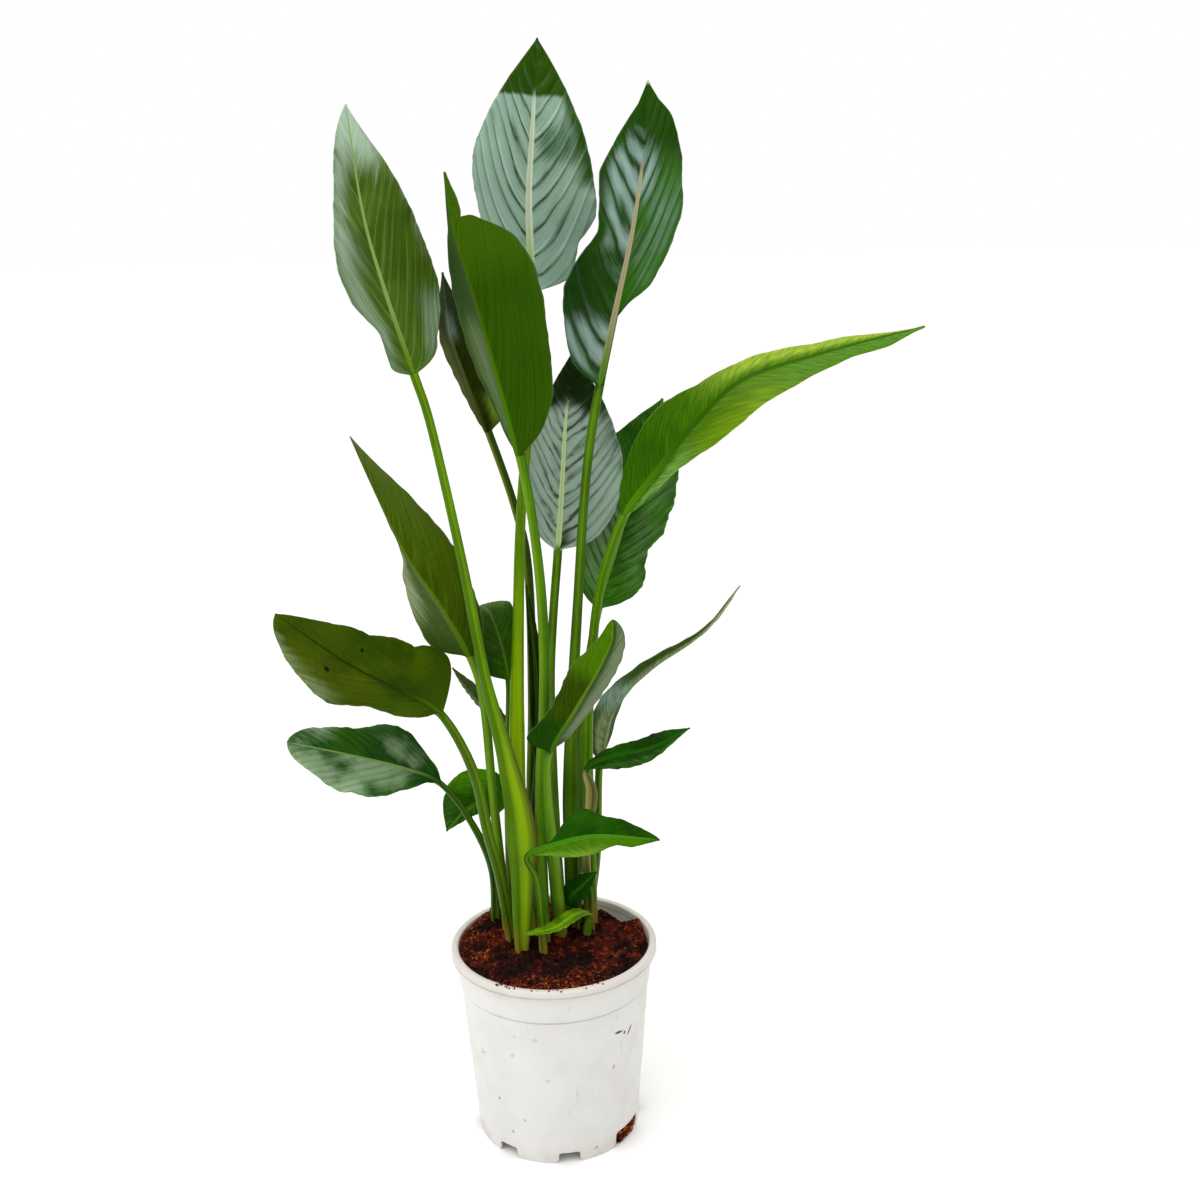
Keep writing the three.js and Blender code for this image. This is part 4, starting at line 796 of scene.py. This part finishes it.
def leaf_form(leaf, seed):
    """The leaf's rings of points, and at each its lay, its painted sheen with the underside's pale
    patches, and its paint. Then how many rings the stalk has, and where in a ring the underside
    starts."""
    size = leaf["size"]
    x, y, foot_width = leaf["foot"]
    stalk = [(x, y, FOOT_BOTTOM, foot_width), (x, y, FOOT_TOP, foot_width)] + leaf["stalk"]
    points = [p[:3] for p in stalk] + leaf["rib"]
    neck = len(stalk) - 1
    spans = len(points) - 1

    # stations count the spans between the points, and t runs from 0 to 1 along the blade
    dense = np.linspace(0, spans, spans * 60 + 1)
    places, _ = on_curve(points, dense)
    lengths = np.concatenate([[0], np.cumsum(np.linalg.norm(np.diff(places, axis=0), axis=1))])
    neck_length = np.interp(neck, dense, lengths)
    blade_length = lengths[-1] - neck_length
    s = np.linspace(0, 1, size["blade"] + 1)
    t = 0.35 * (1 - np.cos(np.pi * s)) / 2 + 0.65 * s
    blade_stations = np.interp(neck_length + t * blade_length, lengths, dense)
    stalk_stations = np.linspace(0, neck, neck * size["per_span"] + 1)[:-1]
    stations = np.concatenate([stalk_stations, blade_stations])
    t = np.concatenate([np.zeros(len(stalk_stations)), t])
    on_blade = np.concatenate([np.zeros(len(stalk_stations)), np.ones(size["blade"] + 1)])
    up_stalk = np.clip(stations / neck, 0, 1)
    along = np.where(on_blade > 0, t * blade_length,
                     np.interp(stations, dense, lengths) - neck_length)

    middle, forward = on_curve(points, stations)
    face = np.array(leaf["face"], float)
    face_tip = np.array(leaf.get("face_tip", leaf["face"]), float)
    normal = face + (face_tip - face) * t[:, None]
    normal = normal - (normal * forward).sum(1, keepdims=True) * forward
    normal /= np.linalg.norm(normal, axis=1, keepdims=True)
    right = np.cross(forward, normal)

    widths = [p[3] for p in stalk]
    neck_width = widths[-1]
    stalk_width = np.interp(np.minimum(stations, neck), np.arange(neck + 1), widths)
    # a broad sheath is flatter than a stalk is
    depth = np.where(stalk_width < 6, stalk_width, 6 + (stalk_width - 6) * 0.25)
    rib_width = 0.9 * neck_width * (1 - t) ** 0.8 + 0.45
    rib_edge = 0.8 * rib_width
    rib_middle = np.minimum(-1.1 * rib_width - 0.6, -BLADE_THICKNESS)
    rib_side = np.minimum(-0.75 * rib_width - 0.4, -BLADE_THICKNESS)
    spread = on_blade * (1 - np.exp(-t / NECK_SPREAD))

    ring, upper_columns = ring_of(size["half"])
    rows = len(stations)
    form, lay = np.zeros((rows, len(ring), 3)), np.zeros((rows, len(ring), 3))
    sheen_and_bloom_amount, paint = np.zeros((rows, len(ring))), np.zeros((rows, len(ring), 4))
    height, number, shift = leaf["wave"]
    ruffle, tail = leaf["ruffle"], leaf["tail"]
    gap, slope_base, slope_tip, vein_curve = leaf["veins"]
    least = np.where(t < 0.5, 0.7 * neck_width, 1.2)
    if tail > 0:
        least = np.where(t > 0.95 - tail, np.maximum(least, 4 * (1 - (t - 1 + tail) / tail)), least)
    least = np.where(t >= 1, 0.8, least)
    for column, (share, is_upper) in enumerate(ring):
        out = abs(share)
        side = -1 if share < 0 else 1
        half = max(side, 0)
        shape = outline(t, leaf["widest"][half], leaf["base"][half], leaf["tip"][half], tail)
        reach = np.maximum(np.maximum(leaf["half"][half] * shape, least), rib_edge + 0.4) - rib_edge
        small_waves = (np.sin(t * 43 + seed * 1.7 + side) + 0.6 * np.sin(t * 97 + seed * 3.1 - side)
                       + 0.4 * np.sin(t * 171 + seed * 0.7))
        reach = reach + ruffle * 0.5 * small_waves * shape * np.clip(out * 2 - 1, 0, 1)
        reach = np.maximum(reach + pushed(t, leaf["edge"][half]), 0.4)
        u = max(0.0, (out - RIB_SHARE) / (1 - RIB_SHARE))
        beyond = reach * u
        fold = leaf["fold"][0] + (leaf["fold"][1] - leaf["fold"][0]) * t
        fold = np.radians((fold + leaf["curl"] * out / 2) * np.where(t < 1, 1, 0))
        wave = height * np.sin(2 * np.pi * (number * t + shift * side)) * out**2
        wave = wave * np.minimum(1, shape)
        wave = wave + ruffle * 0.8 * np.sin(t * 61 + seed + side * 2) * out**4 * shape
        if out <= RIB_SHARE:
            part = out / RIB_SHARE
            across = rib_edge * part * np.sign(share)
            hollow = -0.18 * rib_width * (1 - part**2)
            up = hollow if is_upper else rib_middle + (rib_side - rib_middle) * part**2
            offset = np.zeros(rows)
        else:
            across = side * (rib_edge + beyond * np.cos(fold))
            up = beyond * np.sin(fold) + wave
            slope = (slope_base + (slope_tip - slope_base) * t) * leaf["lean"][half]
            offset = beyond * slope + vein_curve * beyond**2
            pleat = np.sin(2 * np.pi * (along - offset) / gap) * np.clip(u * 6, 0, 1)
            pleat = pleat * np.clip((1 - u) * 4, 0, 1) * np.clip(shape * 2, 0, 1)
            up = up + leaf["pleat"] * pleat
            if not is_upper:
                # the underside leaves the rib's side in a short curve, and ends at the margin
                near_rib = np.exp(-beyond / 2.0)
                up = up - BLADE_THICKNESS * (1 - near_rib) + rib_side * near_rib
            if out == 1:
                up = up - BLADE_THICKNESS / 2 if is_upper else up + BLADE_THICKNESS / 2
        table = CHANNEL if is_upper else ROUND
        stalk_across = np.sign(share) * np.interp(out, table[:, 0], table[:, 1]) * stalk_width
        stalk_up = np.interp(out, table[:, 0], table[:, 2]) * depth
        across = stalk_across + (across - stalk_across) * spread
        up = stalk_up + (up - stalk_up) * spread
        form[:, column] = middle + right * across[:, None] + normal * up[:, None]
        lay[:, column, 0] = (along - offset) * MM
        lay[:, column, 1] = share
        lay[:, column, 2] = np.where(on_blade > 0, t, up_stalk)

        # the painted sheen and pale patches, and patches of colour, on this side of the leaf
        for which, low, high, inner, outer, strength, *soft in leaf["sheen_and_bloom" if is_upper else "pale"]:
            if which in (0, side):
                patch = strength * on_blade * patch_over(t, out, low, high, inner, outer, *soft)
                sheen_and_bloom_amount[:, column] = np.maximum(sheen_and_bloom_amount[:, column], patch)
        glaze = leaf["glaze"] if is_upper else []
        layers = [(spot, on_blade, t) for spot in leaf["paint" if is_upper else "shade"] + glaze]
        layers += [(spot, 1 - on_blade, up_stalk) for spot in leaf["stem"]]
        for spot, where, run in layers:
            which, low, high, inner, outer, colour, strength, *soft = spot
            if which in (0, side):
                patch = strength * where * patch_over(run, out, low, high, inner, outer, *soft)
                over(paint[:, column], linear(colour), patch)
                if spot in glaze:
                    sheen_and_bloom_amount[:, column] *= 1 - patch
    # both ends of the ring are the same edge of the leaf
    return form * MM, lay, sheen_and_bloom_amount, paint, len(stalk_stations), upper_columns


def start_from(operator, name=None, **settings):
    """A new primitive, with nothing else selected."""
    bpy.ops.object.select_all(action="DESELECT")
    operator(**settings)
    item = bpy.context.object
    if name:
        item.name = item.data.name = name
    return item


def alone(item):
    bpy.ops.object.select_all(action="DESELECT")
    item.select_set(True)
    bpy.context.view_layer.objects.active = item


def edit(select=True):
    bpy.ops.object.mode_set(mode="EDIT")
    bpy.ops.mesh.select_all(action="SELECT" if select else "DESELECT")


def face_outwards():
    """All faces outwards, and back to object mode."""
    bpy.ops.mesh.select_all(action="SELECT")
    bpy.ops.mesh.normals_make_consistent(inside=False)
    bpy.ops.object.mode_set(mode="OBJECT")


def dress(item, node=None):
    """The piece rides on the part, and takes its node's place."""
    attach(item, "root")
    if node:
        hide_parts(node)


def make_leaf(name, leaf, seed):
    leaf = USUAL_LEAF | leaf
    look = USUAL_LOOK | LOOKS[name]
    gap = leaf["veins"][0] * MM
    form, lay, sheen_and_bloom_amount, paint, stalk_rows, upper_columns = leaf_form(leaf, seed)
    rows, ring = form.shape[:2]
    item = start_from(bpy.ops.mesh.primitive_grid_add, "living_" + name, x_subdivisions=rows - 1,
                      y_subdivisions=ring - 1, size=2)
    mesh = item.data
    flat = np.zeros(len(mesh.vertices) * 3, np.float32)
    mesh.vertices.foreach_get("co", flat)
    flat = flat.reshape(-1, 3)
    row = np.rint((flat[:, 0] + 1) / 2 * (rows - 1)).astype(int)
    column = np.rint((flat[:, 1] + 1) / 2 * (ring - 1)).astype(int)

    # the strip's faces are told apart before it is bent: upper face 0, underside 1 and stalk 2
    corners = np.zeros(len(mesh.loops), np.int32)
    mesh.loops.foreach_get("vertex_index", corners)
    corners = corners.reshape(-1, 4)
    is_upper = column[corners].min(1) < upper_columns
    finish = np.where(row[corners].min(1) < stalk_rows, 2, np.where(is_upper, 0, 1))
    mesh.polygons.foreach_set("material_index", finish.astype(np.int32))
    for material in (leaf_upper(name, look, gap, leaf["spots"]), leaf_under(name, look, gap),
                     leaf_stalk(name, look)):
        mesh.materials.append(material)

    mesh.vertices.foreach_set("co", form[row, column].astype(np.float32).ravel())
    # the lay, the painted sheen with the underside's pale patches, and the paint go on the points
    for label, kind, key, values in (("lay", "FLOAT_VECTOR", "vector", lay),
                                     ("sheen_and_bloom", "FLOAT", "value", sheen_and_bloom_amount),
                                     ("paint", "FLOAT_COLOR", "color", paint)):
        layer = mesh.attributes.new(label, kind, "POINT")
        layer.data.foreach_set(key, values[row, column].astype(np.float32).ravel())

    # close the seam along the margin, and both ends
    alone(item)
    edit()
    bpy.ops.mesh.remove_doubles(threshold=0.00002)
    bpy.ops.mesh.select_all(action="DESELECT")
    bpy.ops.mesh.select_mode(type="EDGE")
    bpy.ops.mesh.select_non_manifold()
    bpy.ops.mesh.fill()
    bpy.ops.mesh.select_mode(type="VERT")
    face_outwards()
    bpy.ops.object.shade_smooth()
    dress(item, "leaf_" + name)


# ------------------------------------------------------------------ pot

POT = dict(height=204, rim=105, rim_depth=9, roll=3.2, mouth=97.4, collar_top=100.4,
           collar_bottom=97.8, step=37, step_in=1.3, base=82.9, wall=2.2, floor=11,
           floor_thick=2.4, boss=15)
NOTCHES = dict(count=8, pitch=45, first=-36.5, width=15, height=12, inner=45)
DRAIN = dict(start=45, end=73, height=17, inner=64)
# Painted shadow lines, under the rim's lip and at the collar's step, lie at these heights: [mm,
# reach in mm, strength]
SHADOW_LINES = [(197.0, 1.9, 1.0), (165.6, 1.7, 0.75)]
# Scuffs and stains on the front: [degrees from the front, height, half-width, half-height in mm,
# tilt in degrees, strength]
MARKS = [(-40, 66, 1.4, 1.4, 0, 0.6), (-21, 49, 1.4, 1.3, 0, 0.35), (-31, 31, 1.3, 1.8, 0, 0.45),
         (40, 100, 1.2, 2.2, 0, 0.55), (-11, 146, 2.4, 2.0, 0, 0.18), (-26, 124, 2.0, 3.0, 20, 0.18),
         (-4, 99, 2.0, 2.4, 0, 0.18), (28, 11, 1.8, 1.6, 0, 0.45), (43, 138, 4.5, 1.3, 8, 1.0),
         (48, 134, 1.4, 1.8, 0, 1.0), (53, 133, 1.1, 5.0, 35, 1.0), (-51, 112, 0.5, 6.0, 0, 0.3),
         (-51, 112, 0.5, 6.0, 60, 0.3), (-51, 112, 0.5, 6.0, -60, 0.3), (37, 148, 0.5, 7.0, 9, 0.14),
         (46, 118, 0.6, 9.0, -8, 0.12), (60, 124, 0.7, 9.0, 6, 0.14), (41, 156, 0.6, 5.0, -12, 0.12)]


def round_at(radius, turn, z):
    """A place in mm, from its distance to the pot's axis and its angle from +X."""
    return Vector((radius * math.cos(turn), radius * math.sin(turn), z))


def body_radius(z):
    step = POT["height"] - POT["step"]
    top = POT["collar_bottom"] - POT["step_in"]
    return POT["base"] + (top - POT["base"]) * z / step


def inner_radius(z):
    step = POT["height"] - POT["step"]
    if z < step:
        return body_radius(z) - POT["wall"]
    share = (z - step) / (POT["height"] - step)
    return body_radius(step) - POT["wall"] + (POT["mouth"] - body_radius(step) + POT["wall"]) * share


def arc(cx, cz, r, start, end, count):
    """Points of an arc in the profile plane, in degrees from outwards, up being 90."""
    turns = [math.radians(start + (end - start) * i / count) for i in range(count + 1)]
    return [(cx + r * math.cos(turn), cz + r * math.sin(turn)) for turn in turns]


def pot_profile():
    """The pot's section, from the middle of its underside round the rim to the middle inside."""
    top, rim, mouth, roll = POT["height"], POT["rim"], POT["mouth"], POT["roll"]
    collar_top, collar_bottom = POT["collar_top"], POT["collar_bottom"]
    step = top - POT["step"]
    under = top - POT["rim_depth"]
    floor_top = POT["floor"] + POT["floor_thick"]
    points = [(0, 0), (POT["boss"], 0), (POT["boss"] + 0.6, POT["floor"]),
              (inner_radius(POT["floor"]), POT["floor"]), (inner_radius(0), 0.6)]
    points += arc(POT["base"] - 0.9, 0.9, 0.9, -90, 0, 3)
    points += [(body_radius(z), z) for z in (9, 30, 60, 90, 120, 150)]
    points += [(body_radius(step - 2.2), step - 2.2), (body_radius(step - 1.2) + 0.1, step - 1.2)]
    points += [(collar_bottom - 0.4, step - 0.4), (collar_bottom, step + 0.4),
               (collar_bottom + 0.5, step + 8), (collar_top - 0.7, under - 8)]
    # a soft cove leads from the collar into the rolled rim
    points += [(collar_top + 0.1, under - 3), (collar_top + 0.9, under - 1.2),
               (collar_top + 2.2, under - 0.3)]
    points += arc(rim - 1.6, under + 1.6, 1.6, -80, 0, 4)
    points += arc(rim - roll, top - roll, roll, 0, 90, 6)
    points += arc(mouth + 2.2, top - 2.2, 2.2, 90, 180, 4)
    points += [(inner_radius(z), z) for z in (190, 180, step, 120, 60, floor_top)]
    return points + [(0, floor_top)]


def turned(name, profile, steps=160):
    """A profile drawn point by point from one vertex, then spun about the upright axis."""
    item = start_from(bpy.ops.mesh.primitive_plane_add, name, size=0.001, location=(0, 0, 0))
    edit()
    bpy.ops.mesh.merge(type="CENTER")
    x, z = profile[0]
    bpy.ops.transform.translate(value=(x * MM, 0, z * MM))
    for next_x, next_z in profile[1:]:
        bpy.ops.mesh.extrude_region_move(
            TRANSFORM_OT_translate={"value": ((next_x - x) * MM, 0, (next_z - z) * MM)})
        x, z = next_x, next_z
    bpy.ops.mesh.select_all(action="SELECT")
    bpy.ops.mesh.spin(steps=steps, angle=FULL_TURN, center=(0, 0, 0), axis=(0, 0, 1))
    bpy.ops.mesh.select_all(action="SELECT")
    bpy.ops.mesh.remove_doubles(threshold=0.00003)
    face_outwards()
    return item


def cut(item, cutter):
    boolean = item.modifiers.new("cut", "BOOLEAN")
    boolean.operation = "DIFFERENCE"
    boolean.solver = "EXACT"
    boolean.object = cutter
    alone(item)
    bpy.ops.object.modifier_apply(modifier=boolean.name)
    bpy.data.objects.remove(cutter)


def foot_notch(angle, degrees_wide, height, inner):
    """A block that cuts one notch through the foot ring. It flares at the ground, so that the
    feet beside it end in round corners."""
    half = POT["base"] * math.sin(math.radians(degrees_wide / 2))
    flare = 4.5
    right = [(half - 2, height), (half, height - 2), (half, 5), (half + 0.7, 2.5), (half + 2.2, 0.9),
             (half + flare, 0), (half + flare, -3)]
    section = [(-x, z) for x, z in right[::-1]] + right
    cutter = start_from(bpy.ops.mesh.primitive_circle_add, vertices=len(section), radius=1,
                        fill_type="NGON")
    for vertex, (x, z) in zip(cutter.data.vertices, section):
        vertex.co = Vector((x * MM, -inner * MM, z * MM))
    edit()
    bpy.ops.mesh.extrude_region_move(
        TRANSFORM_OT_translate={"value": (0, -(110 - inner) * MM, 0)})
    face_outwards()
    cutter.data.transform(Matrix.Rotation(math.radians(angle), 4, "Z"))
    return cutter


def pot_plastic():
    """Polypropylene, injection moulded: an off-white satin skin, a little uneven, which keeps
    rub marks, pale scratches and splashes of coir dust."""
    material, tree = new_material("moulded polypropylene")
    put = partial(add, tree)
    place = put("coordinates")
    height = put("split", place).node.outputs["Z"]
    cloud = put("noise", place, 26.0, 4.0, 0.6)
    colour = coated(tree, linear("#e0deda"), (put("ramp", cloud, 0.35, 0.75, 0.0, 0.35), "#cfcbc4"))
    # specks of coir dust, 0.4 to 2 mm across
    for scale, threshold, amount in ((330.0, 0.775, 0.4), (900.0, 0.78, 0.3)):
        speck = put("noise", place, scale, 1.0)
        dust = put("ramp", speck, threshold - 0.02, threshold + 0.02, 0.0, amount)
        colour = coated(tree, colour, (dust, "#6d5240"))
    # rub marks run upright
    rub = put("noise", put("drawn out", place, (260.0, 260.0, 22.0)), 1.0, 3.0)
    colour = coated(tree, colour, (put("ramp", rub, 0.68, 0.76, 0.0, 0.3), "#a8a49c"))
    # painted shadow lines under the rim and along the collar's step
    for level, reach, strength in SHADOW_LINES:
        away = put("absolute", put("difference", height, level * MM))
        line = put("product", put("ramp", away, reach * MM, 0.0), put("ramp", cloud, 0.3, 0.6, 0.6, 1.0))
        colour = coated(tree, colour, (put("product", line, strength), "#a3a39d"))
    for angle, level, wide, tall, tilt, strength in MARKS:
        turn = math.radians(angle)
        local = put("centred", place, round_at(body_radius(level), turn - math.pi / 2, level) * MM,
                    (wide * MM, 8 * MM, tall * MM), (0, math.radians(tilt), turn))
        ragged = put("product and sum", rub, 0.8, put("length", local))
        colour = coated(tree, colour, (put("ramp", ragged, 1.8, 1.25, 0.0, strength), "#3a3631"))
    # dust lies on the rim, and dirt gathers at the ground
    low = put("product", put("ramp", height, 0.022, 0.002), put("ramp", cloud, 0.35, 0.6, 0.05, 0.35))
    colour = coated(tree, colour, (put("ramp", height, 0.188, 0.2, 0.0, 0.35), "#cdbfae"),
                    (low, "#b9a08c"))
    surface(tree, colour, put("ramp", cloud, 0.3, 0.7, 0.36, 0.5), 0.45, relief=cloud, strength=0.08)
    return material


def make_pot():
    pot = turned("moulded_pot", pot_profile())
    for i in range(NOTCHES["count"]):
        angle = NOTCHES["first"] + i * NOTCHES["pitch"]
        if not DRAIN["start"] - NOTCHES["width"] < angle < DRAIN["end"]:
            cut(pot, foot_notch(angle, NOTCHES["width"], NOTCHES["height"], NOTCHES["inner"]))
    middle = (DRAIN["start"] + DRAIN["end"]) / 2
    cut(pot, foot_notch(middle, DRAIN["end"] - DRAIN["start"], DRAIN["height"], DRAIN["inner"]))
    alone(pot)
    bpy.ops.object.shade_smooth_by_angle(angle=math.radians(38))
    pot.data.materials.clear()
    pot.data.materials.append(pot_plastic())
    dress(pot, "pot")


# ------------------------------------------------------------------ soil

SOIL_TOP = 196
# Swells and hollows: [x, y, height, radius] in mm
SWELLS = [(-12, 22, 9, 52), (-62, 44, 15, 20), (60, 56, -9, 34), (8, -84, 4, 30), (-86, 8, 8, 26),
          (86, 38, 13, 13), (66, 30, -3, 10)]
CRUMB = 1.6
STEM_FEET = [leaf["foot"] for leaf in LEAVES.values()]
HEAP = 9  # mm from a stem
# Loose crumbs: [kind, colours, count, smallest and largest in mm, the share that keeps to the
# front and left edges, whether many of them fell on the rim]
CRUMBS = [("dark", ("#140402", "#420f07", "#641f0c"), 520, 0.8, 2.3, 0, True),
          ("red", ("#4a1208", "#7c240c", "#a04012"), 420, 0.7, 1.9, 0.7, True),
          ("orange", ("#86401a", "#b4662a", "#cc8a40"), 240, 0.6, 1.6, 0.95, False)]
CRUMBS_IN_DRAIN = 45
FIBRES = 130
# Where coir fell on the rim: [degrees from the front, degrees to each side, number of crumbs]
RIM_BITS = [(-26, 6, 10), (-12, 12, 2), (3, 4, 2), (26, 9, 2)]


def rough_height(x, y):
    """The coir's top with its swells and lumps, in millimetres."""
    z = SOIL_TOP
    for cx, cy, height, radius in SWELLS:
        z += height * math.exp(-((x - cx) ** 2 + (y - cy) ** 2) / radius**2)
    lumps = math.sin(x * 0.31 + 1) * math.cos(y * 0.27) + math.sin(x * 0.13 - y * 0.22)
    z += CRUMB * lumps / 2
    for height, scale, layer in ((2.6, 0.11, 3.0), (1.6, 0.27, 7.0), (0.9, 0.6, 1.0)):
        z += height * noise.noise(Vector((x * scale, y * scale, layer)))
    # it is heaped a little round each stem's foot
    for foot_x, foot_y, width in STEM_FEET:
        away = max(math.hypot(x - foot_x, y - foot_y) - width, 0)
        if away < HEAP:
            lump = noise.noise(Vector((x * 0.35, y * 0.35, 5.0)))
            z += (2.2 + 1.8 * lump) * (1 - away / HEAP) ** 2
    return z


def coir_finish(name, dark, light, orange):
    """Coir with composted bark: crumbly, full of short fibres, with no gloss. Away from the pot's
    front edge it is painted nearly black in patches, as shade; at the front edge it stays browner."""
    material, tree = new_material(name)
    put = partial(add, tree)
    place = put("coordinates")
    at = put("split", place).node.outputs
    lumps = put("noise", place, 100.0, 5.0, 0.75)
    crumb = put("split", put("cells", place, 330.0))
    # painted shade: nearly black patches away from the pot's front edge
    middle = put("product", put("ramp", at["Y"], -0.085, -0.055, 0.1, 0.9),
                 put("ramp", at["Z"], 0.1, 0.15))
    painted_shade = put("product", put("ramp", put("noise", place, 38.0, 2.0), 0.4, 0.56), middle)
    colour = coated(tree, linear(dark), (put("ramp", lumps, 0.36, 0.66), light),
                    (put("ramp", crumb, 0.7, 0.95, 0.0, 0.7), orange), (painted_shade, "#0e0302"))
    surface(tree, colour, 0.92, 0.15, relief=lumps, strength=1.0, depth=0.003)
    return material


def make_soil(finish):
    """A square grid drawn out to a disc, with a skirt that goes down inside the pot."""
    soil = start_from(bpy.ops.mesh.primitive_grid_add, "coir_bed", x_subdivisions=150,
                      y_subdivisions=150, size=2)
    edge = inner_radius(SOIL_TOP) - 0.7
    for vertex in soil.data.vertices:
        a, b = vertex.co.x, vertex.co.y
        if abs(a) > abs(b):
            radius, turn = a, math.pi / 4 * (b / a)
        elif abs(b) > 0:
            radius, turn = b, math.pi / 2 - math.pi / 4 * (a / b)
        else:
            radius, turn = 0, 0
        x, y = edge * radius * math.cos(turn), edge * radius * math.sin(turn)
        vertex.co = Vector((x * MM, y * MM, rough_height(x, y) * MM))
    alone(soil)
    edit()
    bpy.ops.mesh.region_to_loop()
    for down, narrower, flatter in ((24, 0.975, 1), (150, 0.88, 0)):
        bpy.ops.mesh.extrude_region_move(TRANSFORM_OT_translate={"value": (0, 0, -down * MM)})
        bpy.ops.transform.resize(value=(narrower, narrower, flatter))
    bpy.ops.mesh.edge_face_add()
    face_outwards()
    bpy.ops.object.shade_smooth()
    soil.data.materials.clear()
    soil.data.materials.append(finish)
    dress(soil, "soil")


def make_drain_coir(finish):
    """The coir that bulges into the wide opening at the pot's foot."""
    bulge = start_from(bpy.ops.mesh.primitive_cube_add, "coir_in_drain", size=1)
    edit()
    bpy.ops.mesh.subdivide(number_cuts=17)
    bpy.ops.object.mode_set(mode="OBJECT")
    start, end = DRAIN["start"] + 1, DRAIN["end"] - 1
    back = DRAIN["inner"] + 2
    for vertex in bulge.data.vertices:
        a, b, c = vertex.co
        turn = math.radians(start + (end - start) * (a + 0.5) - 90)
        height = 2 + 20 * (c + 0.5)
        lump = 1.4 * noise.noise(Vector((a * 9, b * 5, c * 9 + 4)))
        radius = back + (body_radius(height) - 2.8 - back) * (b + 0.5) + lump
        vertex.co = round_at(radius, turn, height + 0.6 * lump) * MM
    alone(bulge)
    edit()
    face_outwards()
    bpy.ops.object.shade_smooth()
    bulge.data.materials.clear()
    bulge.data.materials.append(finish)
    dress(bulge, "soil")


def scattered(name, master, places, finish):
    """Copies of one small shape, each with its own mesh, joined into one piece."""
    copies = []
    for place, turn, size in places:
        copy = master.copy()
        copy.data = master.data.copy()
        copy.data.transform(Matrix.Translation(place) @ turn.to_matrix().to_4x4()
                            @ Matrix.Diagonal((*size, 1)))
        bpy.context.collection.objects.link(copy)
        copies.append(copy)
    alone(copies[0])
    for copy in copies:
        copy.select_set(True)
    bpy.ops.object.join()
    item = bpy.context.object
    item.name = item.data.name = name
    item.data.materials.clear()
    item.data.materials.append(finish)
    bpy.data.objects.remove(master)
    dress(item)


def crumb_shape(chance):
    crumb = start_from(bpy.ops.mesh.primitive_ico_sphere_add, subdivisions=2, radius=1)
    for vertex in crumb.data.vertices:
        vertex.co *= chance.uniform(0.66, 1.12)
    return crumb


def fibre_shape():
    """A thin bowed rod with narrow ends."""
    fibre = start_from(bpy.ops.mesh.primitive_cylinder_add, vertices=5, radius=1, depth=2)
    for level in (0.35, -0.35):
        edit()
        bpy.ops.mesh.bisect(plane_co=(0, 0, level), plane_no=(0, 0, 1))
        bpy.ops.object.mode_set(mode="OBJECT")
    for vertex in fibre.data.vertices:
        vertex.co.x += 2.4 * (1 - vertex.co.z**2)
        vertex.co.y *= 1 - 0.5 * abs(vertex.co.z)
    return fibre


def crumb_at(chance, place, size, longest=1.25):
    """A crumb's place, turn and sizes in metres."""
    return (place * MM, Euler([chance.uniform(0, 6.28) for _ in range(3)]),
            [size * MM * chance.uniform(0.7, longest) for _ in range(3)])


def on_a_stem(x, y, gap):
    return any((x - a) ** 2 + (y - b) ** 2 < (width + gap) ** 2 for a, b, width in STEM_FEET)


def make_crumbs():
    chance = random.Random(71)
    for kind, colours, count, low, high, shy, on_rim in CRUMBS:
        places = []
        while len(places) < count:
            radius = 94 * math.sqrt(chance.random())
            turn = chance.uniform(-math.pi, math.pi)
            x, y = radius * math.cos(turn), radius * math.sin(turn)
            size = chance.uniform(low, high)
            if radius + size > 93.5 or on_a_stem(x, y, 0.5):
                continue
            # most of the pale crumbs lie along the front edge and on the left
            if y > -64 and x > -60 and chance.random() < shy:
                continue
            places.append(crumb_at(chance, Vector((x, y, rough_height(x, y) + 0.3 * size)), size))
        for angle, spread, number in RIM_BITS:
            for _ in range(number if on_rim else 1):
                turn = math.radians(angle + chance.uniform(-spread, spread) - 90)
                radius = chance.uniform(99.5, 103.8)
                size = chance.uniform(0.4, 1.1)
                place = round_at(radius, turn, POT["height"] + 0.1 * size)
                places.append(crumb_at(chance, place, size, 1.4))
        # some push out of the wide opening at the foot
        for _ in range(CRUMBS_IN_DRAIN):
            turn = math.radians(chance.uniform(DRAIN["start"] + 3, DRAIN["end"] - 3) - 90)
            z = chance.uniform(1.5, DRAIN["height"] - 3)
            radius = body_radius(z) - chance.uniform(0.5, 3.5)
            size = chance.uniform(1.0, 2.4)
            places.append(crumb_at(chance, round_at(radius, turn, z + 0.4 * size), size))
        scattered("coir_crumbs_" + kind, crumb_shape(chance), places,
                  coir_finish(kind + " crumbs", *colours))

    # short coir fibres lie across the crumbs
    places = []
    while len(places) < FIBRES:
        radius = 90 * math.sqrt(chance.random())
        turn = chance.uniform(-math.pi, math.pi)
        x, y = radius * math.cos(turn), radius * math.sin(turn)
        if on_a_stem(x, y, 6):
            continue
        length = chance.uniform(2.5, 6.0)
        if radius + length > 93:
            continue
        lying = Euler((math.pi / 2 + chance.uniform(-0.35, 0.35), 0, chance.uniform(0, 6.28)))
        places.append((Vector((x, y, rough_height(x, y) + 1.2)) * MM, lying,
                       (0.22 * MM, 0.22 * MM, length * MM)))
    scattered("coir_fibres", fibre_shape(), places,
              coir_finish("coir fibre", "#5c2a10", "#8c4c20", "#b0703a"))


# ------------------------------------------------------------------ making it

place_camera()
set_light()
make_floor()
make_pot()
coir = coir_finish("coir", "#1d0502", "#5c1809", "#96380f")
make_soil(coir)
make_drain_coir(coir)
make_crumbs()
for seed, (leaf_name, leaf_sizes) in enumerate(LEAVES.items(), 1):
    make_leaf(leaf_name, leaf_sizes, seed)
